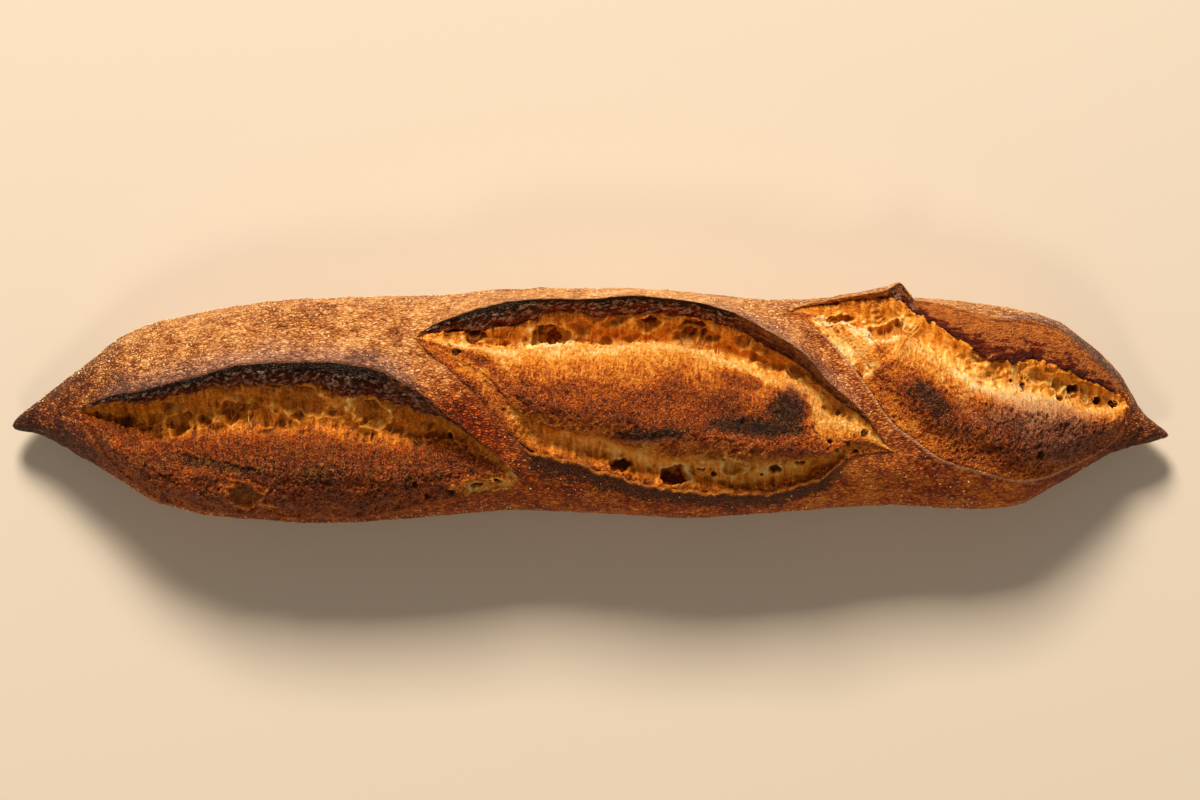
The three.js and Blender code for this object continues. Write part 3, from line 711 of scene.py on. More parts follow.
def crust_rings():
    """The crust as rings of columns from the middle of the sole round the -Y side.

    Returns the points, the angle of each on the upper half, and the named fields over them.
    """
    x = station_list(-HALF_LENGTH, HALF_LENGTH, CRUST_STEP)
    for cut in CUTS.values():
        for end in (cut["upper"][0][0], cut["upper"][-1][0]):
            x[np.argmin(np.abs(x - end))] = end
    section = Section(x)
    openings = open_cuts(section)
    for opening in openings:
        set_char(opening)
    parts = []

    def keep(points, angle, fields):
        size = points.shape[:2]
        spread = {key: np.broadcast_to(fields.get(key, value), size) for key, value in FIELDS.items()}
        parts.append((points, np.broadcast_to(angle, size), spread))

    # The sole, whose finish fades out up the lower corners.
    turns = np.linspace(90, 0, CORNER_STEPS + 1)[:-1]
    corner_sole = np.clip((turns / 90 - 0.35) / 0.4, 0, 1)[None, :]
    flat = np.linspace(0, SOLE_SHARE, SOLE_STEPS // 2 + 1)[:-1]
    flat_y = section.half_width[:, None] * flat[None, :]
    flat_z = np.broadcast_to(section.sole[:, None], flat_y.shape)
    keep(section.at(section.middle[:, None] - flat_y, flat_z), 0.0, {"sole": 1.0})
    keep(section.corner(-1, turns), 0.0, {"sole": corner_sole})
    start = np.zeros_like(x)
    for opening, steps in zip(openings, SKIN_STEPS):
        keep(*skin_strip(section, openings, start, opening.lower_lip, steps))
        keep(*cut_columns(opening))
        start = opening.upper_lip
    keep(*skin_strip(section, openings, start, np.full_like(x, 180.0), SKIN_STEPS[-1]))
    keep(section.corner(1, turns[::-1]), 180.0, {"sole": corner_sole[:, ::-1]})
    keep(section.at(section.middle[:, None] + flat_y[:, :0:-1], flat_z[:, 1:]), 180.0, {"sole": 1.0})
    rings = np.concatenate([part[0] for part in parts], axis=1)
    angle = np.concatenate([part[1] for part in parts], axis=1)
    fields = {key: np.concatenate([part[2][key] for part in parts], axis=1) for key in FIELDS}
    return section, rings, angle, fields


def skin_relief(points, tip):
    """Height of the skin's lumps, its grain drawn out along the loaf and, near the tips, its wrinkles."""
    lumps = 0.42 * grain_noise(points, 17.0, 3) + 0.30 * grain_noise(points, 6.0, 5)
    grain = 0.20 * grain_noise(points / (1.8, 1.0, 1.0), 2.0, 7, 2)
    wrinkles = 0.5 - np.abs(grain_noise(points * (1.0, 0.7, 0.7), 3.6, 9, 2)) * 1.6
    return lumps + grain + 0.55 * tip * wrinkles


# Where the skin is darker or paler: x, y, half length, half width and change of bake.
BAKED_SPOTS = [(-40, -4, 22, 12, 0.28), (5, 34, 40, 8, -0.12), (100, -28, 45, 12, -0.10)]

# Where the painted shade of the -Y side reaches up between two cuts: x, y, half length and half width.
SHADE_SPOTS = [(-36, -2, 22, 14), (76, 8, 24, 16)]


def soft_spot(x, y, spot_x, spot_y, length, breadth):
    """A bell round a spot: 1 at its centre, less by the exponential of the squared distance in its radii."""
    return np.exp(-(((x - spot_x) / length) ** 2) - ((y - spot_y) / breadth) ** 2)


def make_crust():
    """The crust piece: its rings roughened along the loaf's own normals, its cut faces wrinkled.

    bake says how brown the skin is, crease where the faces' folds stand up, and shaded how much painted
    shade, a darker, redder brown, the skin has on its -Y side and between two cuts.
    """
    section, rings, angle, fields = crust_rings()
    tip = smooth_step(132, 178, np.abs(rings[..., 0]))
    smooth = 1 - fields["sole"]
    relief = skin_relief(rings, tip) * smooth * (1 - 0.5 * fields["face"])
    crumbly = fields["rim_black"] * (1 - smooth_step(0, 3.5, fields["rim_gap"]))
    flaky = 0.9 * np.clip(grain_noise(rings, 2.0, 13, 2), -0.3, 1) * crumbly
    end = np.clip((HALF_LENGTH - np.abs(rings[..., 0])) / 6, 0, 1)
    below = rings[..., 2] < section.widest[:, None]
    side = np.where(fields["sole"] > 0, 0.6, 1.0) * np.where(below, 0.8, 1.0)
    blistered = rings + section.normal(angle) * ((relief + flaky) * end * side)[..., None]
    drawn = rings + 0.9 * grain_noise(rings, 3.0, 12)[..., None]
    folds = 1 - 2.6 * np.abs(grain_noise(drawn / (4.2, 1.0, 1.0), 1.1, 11, 2))
    gritty = grain_noise(rings, 1.3, 15, 2)
    smooth_lip = smooth_step(0.5, 0.8, fields["face_at"])
    crease = (1 - 0.85 * smooth_lip) * (0.6 * folds + 1.0 * gritty)
    rings = blistered + grid_normals(rings) * (0.36 * crease * fields["face"])[..., None]
    rings[..., 2] = np.maximum(rings[..., 2], 0.0)
    x = rings[..., 0]
    y = rings[..., 1] - section.middle[:, None]
    # The tips are browner; the left tip's extra darkness is partly painted shade.
    bake = (
        0.36
        + (0.34 - 0.10 * np.sign(x)) * tip
        + 0.20 * fields["scorch"] ** 2
        + 0.14 * grain_noise(rings, 30.0, 19)
        + 0.12 * grain_noise(rings, 8.0, 21)
    )
    for *spot, change in BAKED_SPOTS:
        bake = bake + change * soft_spot(x, rings[..., 1], *spot)
    attributes = dict(fields)
    attributes["bake"] = np.clip(bake, 0, 1)
    attributes["crease"] = np.clip(0.5 + 0.5 * crease, 0, 1) * fields["face"]
    # shaded: painted shade, a darker, redder brown on the -Y side and between two cuts.
    between = np.max([soft_spot(x, y, *spot) for spot in SHADE_SPOTS], axis=0)
    attributes["shaded"] = np.clip(1 - smooth_step(-28, 14, y) + 0.5 * between, 0, 1)
    return ring_solid("crust", rings, attributes)


# ---- Torn crumb --------------------------------------------------------------------------------------

# Places across a cut, as numbers of the controls that crumb_profile gives.
CONTROLS = 13
RIM_AT, LOW_AT, CREST_AT, HIGH_AT, WALL_AT, TORN_AT = 1, 3, 7, 9, 10, 11

# How toasted the crumb is at each control, from behind the lower lip to under the torn edge: 0 is cream,
# # 0.3 amber, 0.6 brown and 1 black.  The left cut's values are set browner to paint the shade its tall ear
# # casts over its crumb, on top of its real toasting.
TOASTED = {
    "left": [0.70, 0.70, 0.72, 0.76, 0.78, 0.81, 0.87, 0.89, 0.82, 0.56, 0.48, 0.57, 0.7],
    "middle": [0.70, 0.58, 0.32, 0.21, 0.44, 0.76, 0.75, 0.58, 0.23, 0.29, 0.42, 0.54, 0.7],
    "right": [0.60, 0.60, 0.63, 0.67, 0.70, 0.70, 0.66, 0.52, 0.24, 0.24, 0.31, 0.50, 0.75],
}

# How pitted the wall under the ear and the recess behind the lower lip are.
PITTED = {"left": (0.9, 0.05), "middle": (0.8, 0.8), "right": (0.25, 0.0)}

# What stands out in each cut: x, y, half length, half width, turn in degrees, lift, and change of toast.
# # In the small sunken pits the darker toast is painted shade inside the hole.
FEATURES = {
    "left": [
        (-147, -12, 3.2, 2, 40, -0.8, -0.2), (-137.5, -13.5, 2, 2.4, 0, -0.6, -0.12),
        (-88, 0, 8.5, 4.2, -8, -1.8, -0.04), (-126.5, -7, 4.2, 3.4, 0, -1.4, 0.02),
        (-111, -3, 4.5, 3.2, 0, -1.3, 0.04), (-113, -20.0, 14, 1.5, -10, -0.85, 0.34),
        (-107, -28.5, 4.8, 3.0, -5, -1.2, 0.04), (-83, -22, 8, 4.5, 0, 0.2, 0.10),
        (-120, -13, 26, 3.2, 2, 0.4, 0.0), (-92, -11.5, 12, 3.6, 3, 0.5, -0.02),
        (-62, -12, 10, 3.2, -18, 0.3, -0.10), (-68, -3, 5, 3.4, -20, -1.4, -0.02),
        (-43.5, -10, 1.1, 0.9, 0, -1.6, 0.4), (-54, -25.5, 1.3, 0.9, 10, -1.6, 0.4),
        (-50, -29, 1.2, 0.9, 0, -1.4, 0.35), (-59, -33, 1.3, 0.9, 0, -1.4, 0.35),
        (-43, -27.8, 1.2, 0.9, 0, -1.6, 0.35), (-30.5, -25, 8.5, 2.4, 8, -1.0, -0.36),
        (-29, -24.5, 1.0, 0.9, 0, -1.6, 0.5), (-35, -26, 1.6, 0.8, 10, -1.4, 0.35),
    ],
    "middle": [
        (-47.5, 22, 2.6, 1.6, 0, -1.2, 0.10), (-35, 20.5, 3.2, 1.8, 0, -1.5, 0.12),
        (-12.3, 20.8, 6, 3.0, 0, -2.4, -0.04), (-2.5, 23, 2.8, 2.4, 0, -2.2, -0.02),
        (17.7, 24, 3.8, 2.4, 0, -1.9, -0.06), (32, 22, 3.8, 2.8, -10, -1.9, -0.05),
        (47, 18.8, 2.6, 2.2, -20, -2.0, 0.08), (-41, 15.3, 1.0, 0.8, 0, -1.2, 0.3),
        (-43, 17.5, 0.8, 0.7, 0, -1.0, 0.3), (-34, 12, 12, 9, -40, 0.0, -0.06),
        (61, -2, 6.5, 7.5, -5, 0.1, 0.50), (50, -7.5, 13, 2.6, -6, 0.0, 0.34),
        (46, 7, 8, 2.4, -12, 0.0, 0.30), (50, 0, 12, 7, -10, 0.0, 0.12), (18, -9.6, 13, 1.8, 4, 0.3, 0.40),
        (34, 2, 15, 3, -5, 0.1, 0.08), (-16, -8, 12, 2.0, 0, 0.2, 0.10),
        (9.4, -19.5, 3.2, 1.6, 6, -3.4, 0.45), (25, -23, 4.2, 3.0, 0, -3.4, 0.16),
        (51, -17.5, 2.2, 3.4, 0, -1.6, 0.02), (57, -20.5, 1.6, 1.1, 0, -2.0, 0.4),
        (44, -20.5, 3.0, 2.0, 0, -1.6, 0.04), (38, -17, 2.0, 1.6, 0, -1.4, 0.1),
        (24.6, -12.5, 4.5, 0.7, 42, 0.5, 0.25), (34, -20.5, 1.0, 0.8, 0, -1.3, 0.4),
        (38, -22, 1.2, 0.8, 0, -1.3, 0.4), (46.5, -19.5, 1.0, 0.9, 0, -1.3, 0.4),
        (53, -22.5, 0.8, 0.7, 0, -1.2, 0.4), (60, -18.5, 0.8, 0.7, 0, -1.2, 0.4),
        (41, -17.8, 0.8, 0.6, 0, -1.2, 0.4), (65, -19, 0.9, 0.8, 0, -1.2, 0.4),
        (76, -14, 5, 2.8, 10, -0.6, -0.10), (73.5, -12.5, 0.8, 0.7, 0, -1.2, 0.4),
        (75.5, -15, 0.9, 0.7, 0, -1.2, 0.4), (79, -13, 0.8, 0.8, 0, -1.2, 0.4),
        (84, -9.8, 1.0, 1.3, 0, -1.3, 0.4), (81.5, -15, 0.7, 0.6, 0, -1.1, 0.4),
    ],
    "right": [
        (77, 25.5, 5.5, 1.3, 5, -1.6, 0.10), (92, 21.5, 5.2, 2.4, 15, -2.0, 0.06),
        (80, 17.5, 12, 4.8, -32, 0.2, -0.42), (103, 1.5, 8.5, 4.6, -34, 0.3, 0.22),
        (110, -5, 8, 4, -26, 0.0, 0.16), (120.5, 14.5, 3.2, 2.6, 0, -1.6, 0.06),
        (126, 11.5, 3.2, 2.8, 30, -1.8, -0.04), (121, 6.5, 11, 3, -18, 0.3, -0.12),
        (130, 6.5, 1.0, 0.8, 0, -1.3, 0.4), (134, 5, 1.1, 0.8, 0, -1.3, 0.4),
        (139, 8, 3.2, 2.2, -20, -1.2, -0.06), (145, 5.5, 2.2, 1.8, 0, -1.3, 0.02),
        (146, 1.5, 0.9, 0.8, 0, -1.2, 0.4), (154, 4.5, 2.2, 1.6, 0, -1.2, 0.0),
        (150, 4, 1.8, 1.3, 0, -1.8, 0.5), (158, 0, 1.2, 1.2, 0, -1.6, 0.5),
        (163, -0.6, 1.4, 0.9, 0, -1.4, 0.4), (133, -1, 8, 3, -12, 0.2, -0.16),
        (138.5, -16.2, 2.2, 1.3, 20, -1.3, 0.35), (124, -15, 4, 1.6, 0, -0.6, 0.15),
        (140, -10, 18, 7, 0, 0.0, 0.04),
    ],
}

# Where each cut's crumb turned an ashen purple brown: x, y, half length, half width and turn in degrees.
ASHEN = {
    "left": [],
    "middle": [(61, -1, 6, 7, -8), (50, -8, 12, 3, -6), (18, -10.5, 11, 2.2, 4)],
    "right": [(141, -8, 24, 10, -16), (104, 2, 7, 2.6, -34)],
}

# Where strands lie side by side in a ridge: x, y, half length, half width and turn in degrees.
STRANDED = {"left": [], "middle": [], "right": [(97.2, 18.8, 11, 2.4, 53)]}


def crumb_profile(opening):
    """Controls of the crumb across a cut, from behind the rim to under the torn edge.

    Two arrays (station, control): distances from the lower lip and heights over the loaf's surface.
    """
    m = opening.marks()
    share, width, face = m["share"], m["width"], m["face"]
    back = width - m["high"]
    tuck = 0.18 * m["low_depth"]
    merged = opening.cut["merged"] * (1 - np.clip(m["low_depth"] / 3, 0, 1)) * share
    filled = merged * m["swell_height"]
    distance = [
        -2.2 * share, 0.4 * share, 0.4 * m["low"], m["low"],
        m["low"] + 0.4 * (m["swell"] - m["low"]), m["swell"], 0.5 * (m["swell"] + m["crest"]), m["crest"],
        0.5 * (m["crest"] + m["high"]), m["high"], width - face - 0.45 * (back - face),
        width - face - 0.2 * share, width - face + 3.4 * share,
    ]
    height = [
        -4.6 * share + 3.9 * merged, -tuck + 0.4 * merged,
        -0.75 * m["low_depth"] - 0.5 * tuck + 0.35 * filled, -m["low_depth"] + 0.6 * filled,
        0.35 * (m["swell_height"] - m["low_depth"]) + 0.5 * filled, m["swell_height"],
        0.55 * (m["swell_height"] + m["crest_height"]), m["crest_height"],
        0.42 * (m["crest_height"] - m["high_depth"]), -m["high_depth"], -0.9 * m["high_depth"],
        -m["drop"] - opening.cut["tuck"] * share, -m["drop"] - 5.0 * share,
    ]
    return np.stack(distance, axis=1), np.stack(height, axis=1)


def turned(x, y, spot_x, spot_y, turn):
    """Distances from a spot's centre along its own turned axis and aside from it."""
    cosine, sine = math.cos(math.radians(turn)), math.sin(math.radians(turn))
    along = (x - spot_x) * cosine + (y - spot_y) * sine
    return along, (y - spot_y) * cosine - (x - spot_x) * sine


def spot_away(x, y, spot, uneven):
    """How far points are from a turned elliptical spot's centre, in its radii and made uneven."""
    spot_x, spot_y, length, breadth, turn = spot
    along, aside = turned(x, y, spot_x, spot_y, turn)
    return np.sqrt((along / length) ** 2 + (aside / breadth) ** 2) * (1 + uneven)


def drawn_noise(along, aside, length, breadth, seed):
    """Noise drawn out on a plane, with bumps about `length` by `breadth` across."""
    return grain_noise(np.stack([along / length, aside / breadth, 0 * along], axis=-1), 1.0, seed, 2)


def crumb_fields(name, points, at, across, sunk):
    """Height of the relief, how toasted each point of a cut's crumb is, how much painted shade its pits get,
    and how sheltered and ashen it is.

    `at` is the place across the cut in controls and `across` the same in millimetres.  Bubbles are the
    cells of a cell noise with thin walls left between them, fibres are noise drawn out across the cut, and
    the curled crust of the dome is the ridges of a noise whose place is itself bent by noise.  Each noise
    is given its size in millimetres and its seed.
    """
    x, y = points[..., 0], points[..., 1]
    wall = window(HIGH_AT - 0.3, TORN_AT, 0.5, at)
    flank = window(CREST_AT - 0.1, HIGH_AT - 0.4, 0.6, at)
    dome = window(LOW_AT + 1.0 - 3.0 * (1 - sunk), CREST_AT - 0.2, 0.8, at)
    low = window(RIM_AT + 0.3, LOW_AT + 0.6, 0.5, at) * sunk
    rim = window(RIM_AT - 0.4, RIM_AT + 0.3, 0.4, at) * sunk
    inside = window(RIM_AT, TORN_AT + 0.2, 0.4, at)
    wall_pits, low_pits = PITTED[name]
    warped = points + 0.9 * grain_noise(points, 4.0, 39)[..., None]
    near, far, number = cell_noise(warped, (7.0, 4.6, 4.6), 41)
    bubbles = smooth_step(0.03, 0.36, far - near) * smooth_step(0.35, 0.5, number)
    near, far, small_number = cell_noise(warped, (2.7, 2.2, 2.2), 43)
    small = smooth_step(0.08, 0.4, far - near) * smooth_step(0.55, 0.7, small_number)
    bubbles = bubbles * (wall * wall_pits + 0.5 * low * low_pits)
    small = small * (0.6 * wall + 0.35 * flank + low * low_pits + 0.06 * dome)
    fibre = drawn_noise(x, across, 0.7, 2.6, 47)
    curtain = drawn_noise(x, across, 1.6, 7.0, 49)
    coarse = grain_noise(points, 2.6, 53, 2)
    bend = np.stack([grain_noise(points, 2.2, seed) for seed in (63, 65, 67)], axis=-1)
    curled = 1 - 2.6 * np.abs(grain_noise(points + 1.0 * bend, 1.8, 55, 2))
    fine = grain_noise(points, 0.9, 59, 2)
    lumps = grain_noise(points, 12.0, 61, 2)
    patch = grain_noise(points, 7.0, 69, 2)
    fibrous = np.clip(flank + 0.4 * wall + 0.6 * low, 0, 1)
    relief = (
        0.8 * lumps * (1 - 0.4 * low)
        - (1.5 + 1.0 * number) * bubbles
        - 0.9 * small
        + 0.50 * fibre * fibrous
        + 0.5 * curtain * (wall + low)
        + 0.35 * coarse * (0.25 + 0.8 * dome + 0.4 * flank)
        + 0.36 * curled * (0.06 + 0.9 * dome + 0.4 * flank) * (1 - 0.8 * low)
        + 0.14 * fine * (0.25 + dome + flank)
        + rim * (0.6 + 1.6 * coarse + 0.5 * fine)
    )
    # Raised fibres, curtains and curled crests are painted paler than the grooves between them: partly paler
    # drawn crumb, partly a painted highlight on what stands up.
    toast = (
        np.interp(at, np.arange(CONTROLS), TOASTED[name])
        + 0.32 * (1 - sunk) * window(0, LOW_AT + 0.6, 0.8, at) * (name == "middle")
        + 0.10 * lumps
        + 0.13 * patch * (0.3 + dome)
        + 0.05 * coarse
        + 0.05 * fine
        + 0.05 * small
        - 0.21 * fibre * fibrous
        - 0.28 * curtain * (wall + low)
        - 0.13 * curled * (dome + 0.35 * flank)
        + rim * (0.12 + 0.16 * fine + 0.2 * coarse)
    )
    # Painted shade inside the bubbles and small pits, which the material darkens.
    pit_shade = 0.5 * bubbles + 0.6 * small
    for *spot, lift, change in FEATURES[name]:
        uneven = 0.3 * coarse + (0.35 * patch if spot[2] > 4 else 0)
        away = spot_away(x + 1.3 * bend[..., 0], y + 1.1 * bend[..., 1], spot, uneven) + 0.25 * lumps
        inner = 1 - smooth_step(0.65, 1.2, away)
        relief = relief + lift * inner
        toast = toast + change * inner
        # A sunken spot is a pit and gets painted shade inside it.
        if lift < -0.9:
            pit_shade = np.maximum(pit_shade, inner * min(1.0, max(0.0, 0.4 + 1.3 * change)))
            edge = np.exp(-(((away - 1.2) / 0.22) ** 2))
            wide = spot[2] > 4
            relief = relief + (0.55 if wide else 0.3) * edge
            toast = toast - (0.26 if wide else 0.1) * edge
    for spot_x, spot_y, length, breadth, turn in STRANDED[name]:
        along, aside = turned(x, y, spot_x, spot_y, turn)
        aside = aside + 0.25 * coarse
        strands = drawn_noise(along, aside, 7.0, 0.8, 93)
        here = np.exp(-((along / length) ** 4) - (aside / breadth) ** 2)
        relief = relief * (1 - 0.7 * here) + here * (1.4 + 0.9 * strands)
        toast = toast * (1 - 0.6 * here) + here * (0.22 - 0.4 * strands)
    ashen = np.zeros_like(toast)
    for spot in ASHEN[name]:
        away = spot_away(x, y, spot, 0.3 * coarse + 0.4 * patch)
        ashen = np.maximum(ashen, 1 - smooth_step(0.4, 1.3, away))
    # sheltered: the wall under the ear and the recess, which lie in shade; it carries the painted amber glow
    # and a gentler bump.
    sheltered = np.clip(np.maximum(wall, 0.9 * low) + 0.2 * coarse * (wall + low), 0, 1)
    return relief * inside, np.clip(toast, 0, 1.1), np.clip(pit_shade, 0, 1), sheltered, ashen


class Crumb:
    """The torn crumb's surface in one cut: a grid of points (station, column, 3) and the fields over it."""

    def __init__(self, name):
        cut = CUTS[name]
        start, end = cut["upper"][0][0], cut["upper"][-1][0]
        section = Section(station_list(start, end, (end - start) / CRUMB_STATIONS))
        opening = self.opening = open_cuts(section)[list(CUTS).index(name)]
        distance, self.height = crumb_profile(opening)
        self.distance = distance
        gaps = np.hypot(np.diff(distance, axis=1), np.diff(self.height, axis=1)).mean(axis=0)
        run = np.concatenate([[0], np.cumsum(gaps)])
        self.at = np.interp(np.linspace(0, run[-1], CRUMB_COLUMNS), run, np.arange(CONTROLS))
        weights = spline_weights(CONTROLS, self.at)
        tucked = smooth_step(HIGH_AT, TORN_AT, self.at)[None, :]
        self.lift = TORN_LIFT * opening.ear[:, None] * tucked
        lean = (opening.lean * opening.torn_lean)[:, None] * tucked
        top = opening.place(distance @ weights.T, self.height @ weights.T, self.lift, lean)
        sunk = np.clip(opening.low_depth / 6, 0, 1)[:, None]
        relief, *self.fields = crumb_fields(name, top, self.at[None, :], distance @ weights.T, sunk)
        relief = np.clip(relief, *RELIEF_LIMITS) * opening.share[:, None]
        self.normal = grid_normals(top)
        self.top = top + self.normal * relief[..., None]


def make_crumb(name, crumb):
    """The torn crumb in one cut: a closed lens, its top the relief and its underside hidden in the crust."""
    under = spline_weights(CONTROLS, np.linspace(CONTROLS - 1, 0, 9)[1:-1])
    below = crumb.height @ under.T - CRUMB_THICKNESS * crumb.opening.share[:, None]
    bottom = crumb.opening.place(crumb.distance @ under.T, below)
    rings = np.concatenate([crumb.top, bottom], axis=1)
    pad = ((0, 0), (0, bottom.shape[1]))
    toast, pit_shade, sheltered, ashen = crumb.fields
    attributes = {
        "toast": np.pad(toast, pad, mode="edge"),
        "pit_shade": np.pad(pit_shade, pad),
        "sheltered": np.pad(sheltered, pad),
        "ashen": np.pad(ashen, pad),
    }
    return ring_solid("crumb_" + name, rings, attributes)


# ---- Gluten strands ----------------------------------------------------------------------------------

STRAND_SIDES = 6
STRAND_RINGS = 9


def make_strands(crumbs):
    """Strands of gluten drawn out over the torn walls: thin six-sided tubes, thickest at their ends.

    Each runs from a place under the ear to one nearer the crest, and its middle stands clear of the crumb
    by half a sine wave.
    """
    random = np.random.default_rng(29)
    starts, ends, outwards = [], [], []
    for crumb in crumbs.values():
        stations = len(crumb.top)
        at = random.uniform(WALL_AT - 1.2, TORN_AT - 0.5, STRANDS)
        column = np.interp(at, crumb.at, np.arange(CRUMB_COLUMNS))
        back = random.uniform(4, 26, STRANDS)
        station = random.uniform(0.08, 0.92, STRANDS) * stations
        aside = random.normal(0, 9, STRANDS)
        first = (station.astype(int), column.astype(int))
        last = (np.clip(station + aside, 0, stations - 1).astype(int), (column - back).astype(int))
        starts.append(crumb.top[first])
        ends.append(crumb.top[last])
        outwards.append(crumb.normal[first])
    start, end, outward = (np.concatenate(each)[:, None] for each in (starts, ends, outwards))
    count = len(start)
    t = np.linspace(0, 1, STRAND_RINGS)[None, :, None]
    bow = random.uniform(0.1, 0.7, (count, 1, 1)) * np.sin(np.pi * t)
    sway = random.normal(0, 0.5, (count, 1, 3)) * np.sin(2 * np.pi * t)
    middle = start + (end - start) * t + outward * bow + sway
    along = np.gradient(middle, axis=1)
    along /= np.linalg.norm(along, axis=-1, keepdims=True) + 1e-9
    side = np.cross(along, outward)
    side /= np.linalg.norm(side, axis=-1, keepdims=True) + 1e-9
    up = np.cross(side, along)
    thick = random.uniform(0.05, 0.12, (count, 1, 1)) * (0.7 + 1.3 * np.abs(2 * t - 1) ** 2)
    thick = thick * (np.abs(2 * t - 1) < 0.999)
    turn = np.linspace(0, 2 * np.pi, STRAND_SIDES, endpoint=False)[None, None, :, None]
    round_it = side[:, :, None] * np.cos(turn) + up[:, :, None] * np.sin(turn)
    points = middle[:, :, None] + round_it * thick[:, :, None]
    number = np.arange(points[..., 0].size).reshape(points.shape[:3])
    number[:, [0, -1]] = number[:, [0, -1], :1]
    following = np.roll(number, -1, axis=2)
    a, b, c, d = number[:, :-1], following[:, :-1], number[:, 1:], following[:, 1:]
    triangles = np.concatenate([np.stack(each, axis=-1).reshape(-1, 3) for each in ((a, b, d), (a, d, c))])
    tint = np.repeat(random.uniform(0, 1, count), STRAND_RINGS * STRAND_SIDES)
    return make_mesh("gluten_strands", points.reshape(-1, 3), triangles, attributes={"tint": tint})


# ---- Semolina ----------------------------------------------------------------------------------------


def ball_faces():
    """The twelve corners and twenty faces of a regular icosahedron of radius 1.

    Every three corners that are neighbours of each other make a face, turned so that it points outwards.
    """
    golden = (1 + math.sqrt(5)) / 2
    four = np.array([(s, t * golden, 0.0) for s in (-1, 1) for t in (-1, 1)])
    corners = np.concatenate([np.roll(four, axis, axis=1) for axis in range(3)])
    gaps = np.linalg.norm(corners[:, None] - corners[None], axis=-1)
    linked = (gaps > 0.1) & (gaps < 2.1)
    faces = np.array(list(combinations(range(len(corners)), 3)))
    a, b, c = faces.T
    faces = faces[linked[a, b] & linked[b, c] & linked[a, c]]
    a, b, c = (corners[faces[:, i]] for i in range(3))
    inwards = (np.cross(b - a, c - a) * a).sum(axis=1) < 0
    faces[inwards] = faces[inwards][:, [0, 2, 1]]
    return corners / np.linalg.norm(corners[0]), faces


def make_semolina():
    """Semolina grains baked on to the skin: squashed twenty-sided balls, each turned and sized at random.

    They sit on the skin where a soft noise is high, and more thickly on the upper side and the left half.
    """
    random = np.random.default_rng(11)
    many = 6 * GRAINS
    x = random.uniform(-178, 178, many)
    section = Section(x)
    openings = [Opening(name, section) for name in CUTS]
    angle = random.uniform(2, 178, many)
    on_skin = np.ones(many, bool)
    for opening in openings:
        clear = np.degrees(GRAIN_CLEAR / section.radius)
        on_skin &= (angle < opening.lower - clear) | (angle > opening.upper + clear) | ~opening.is_open
    place = (section.skin(angle[:, None]) + crust_lift(section, openings, angle[:, None]))[:, 0]
    normal = section.normal(angle[:, None])[:, 0]
    tip = smooth_step(128, 172, np.abs(x))
    place = place + normal * skin_relief(place, tip)[:, None]
    upper = smooth_step(40, 150, angle)
    thick = 0.05 + (0.3 + 0.5 * upper) * grain_noise(place, 18.0, 81) + 0.45 * upper
    thick = thick + 0.2 * (1 - smooth_step(-120, 40, x)) + 0.4 * (1 - smooth_step(2, 45, angle))
    thick = thick + 0.5 * smooth_step(130, 178, angle) * (1 - smooth_step(-60, 0, x)) - 0.7 * tip
    chosen = np.flatnonzero(on_skin & (random.uniform(0, 1, many) < thick))[:GRAINS]
    count = len(chosen)
    smallest, largest = GRAIN_RADII
    size = smallest + (largest - smallest) * random.uniform(0, 1, count) ** 3
    corners, faces = ball_faces()
    turn = np.linalg.qr(random.normal(size=(count, 3, 3)))[0]
    turn *= np.sign(np.linalg.det(turn))[:, None, None]
    squash = random.uniform(0.6, 1.2, (count, 1, 3))
    grains = (corners[None] * squash) @ turn * size[:, None, None]
    grains += place[chosen][:, None] + normal[chosen][:, None] * 0.35 * size[:, None, None]
    triangles = faces[None] + len(corners) * np.arange(count)[:, None, None]
    tint = np.repeat(random.uniform(0, 1, count), len(corners))
    points = grains.reshape(-1, 3)
    points[:, 2] = np.maximum(points[:, 2], 0.0)
    return make_mesh("semolina", points, triangles.reshape(-1, 3), attributes={"tint": tint})


# ---- Materials ---------------------------------------------------------------------------------------

MATH, MIX, NOISE, RAMP = "ShaderNodeMath", "ShaderNodeMix", "ShaderNodeTexNoise", "ShaderNodeValToRGB"
CELLS, ATTRIBUTE, RANGE, BUMP, VECTOR = (
    "ShaderNodeTexVoronoi", "ShaderNodeAttribute", "ShaderNodeMapRange", "ShaderNodeBump",
    "ShaderNodeVectorMath",
)


def srgb(code):
    """A hex colour such as D8A15C as linear red, green, blue and alpha."""
    parts = [int(code[i : i + 2], 16) / 255 for i in (0, 2, 4)]
    linear = [p / 12.92 if p <= 0.04045 else ((p + 0.055) / 1.055) ** 2.4 for p in parts]
    return (*linear, 1.0)


def per_metre(size):
    """The scale that gives a procedural pattern features about `size` millimetres across."""
    return 1.0 / (size * MM)


def add(tree, kind, inputs=None, output=0, **settings):
    """Adds a node and returns one of its outputs: settings are its properties, and inputs maps socket names
    or numbers to values or to other nodes' outputs.

    `stops` sets a colour ramp's stops, as (position, hex colour) pairs.
    """
    made = tree.nodes.new(kind)
    stops = settings.pop("stops", None)
    for key, value in settings.items():
        setattr(made, key, value)
    if stops:
        ramp = made.color_ramp.elements
        while len(ramp) < len(stops):
            ramp.new(0.5)
        for element, (position, code) in zip(ramp, stops):
            element.position = position
            element.color = srgb(code)
    for key, value in (inputs or {}).items():
        socket = made.inputs[key]
        if isinstance(value, bpy.types.NodeSocket):
            tree.links.new(value, socket)
        else:
            socket.default_value = value
    return made.outputs[output]


def new_material(name, roughness, specular):
    """A material with a plain Principled shader; returns it, its node tree and the shader."""
    material = bpy.data.materials.new(name)
    material.use_nodes = True
    tree = material.node_tree
    shader = tree.nodes["Principled BSDF"]
    shader.inputs["Roughness"].default_value = roughness
    shader.inputs["Specular IOR Level"].default_value = specular
    return material, tree, shader


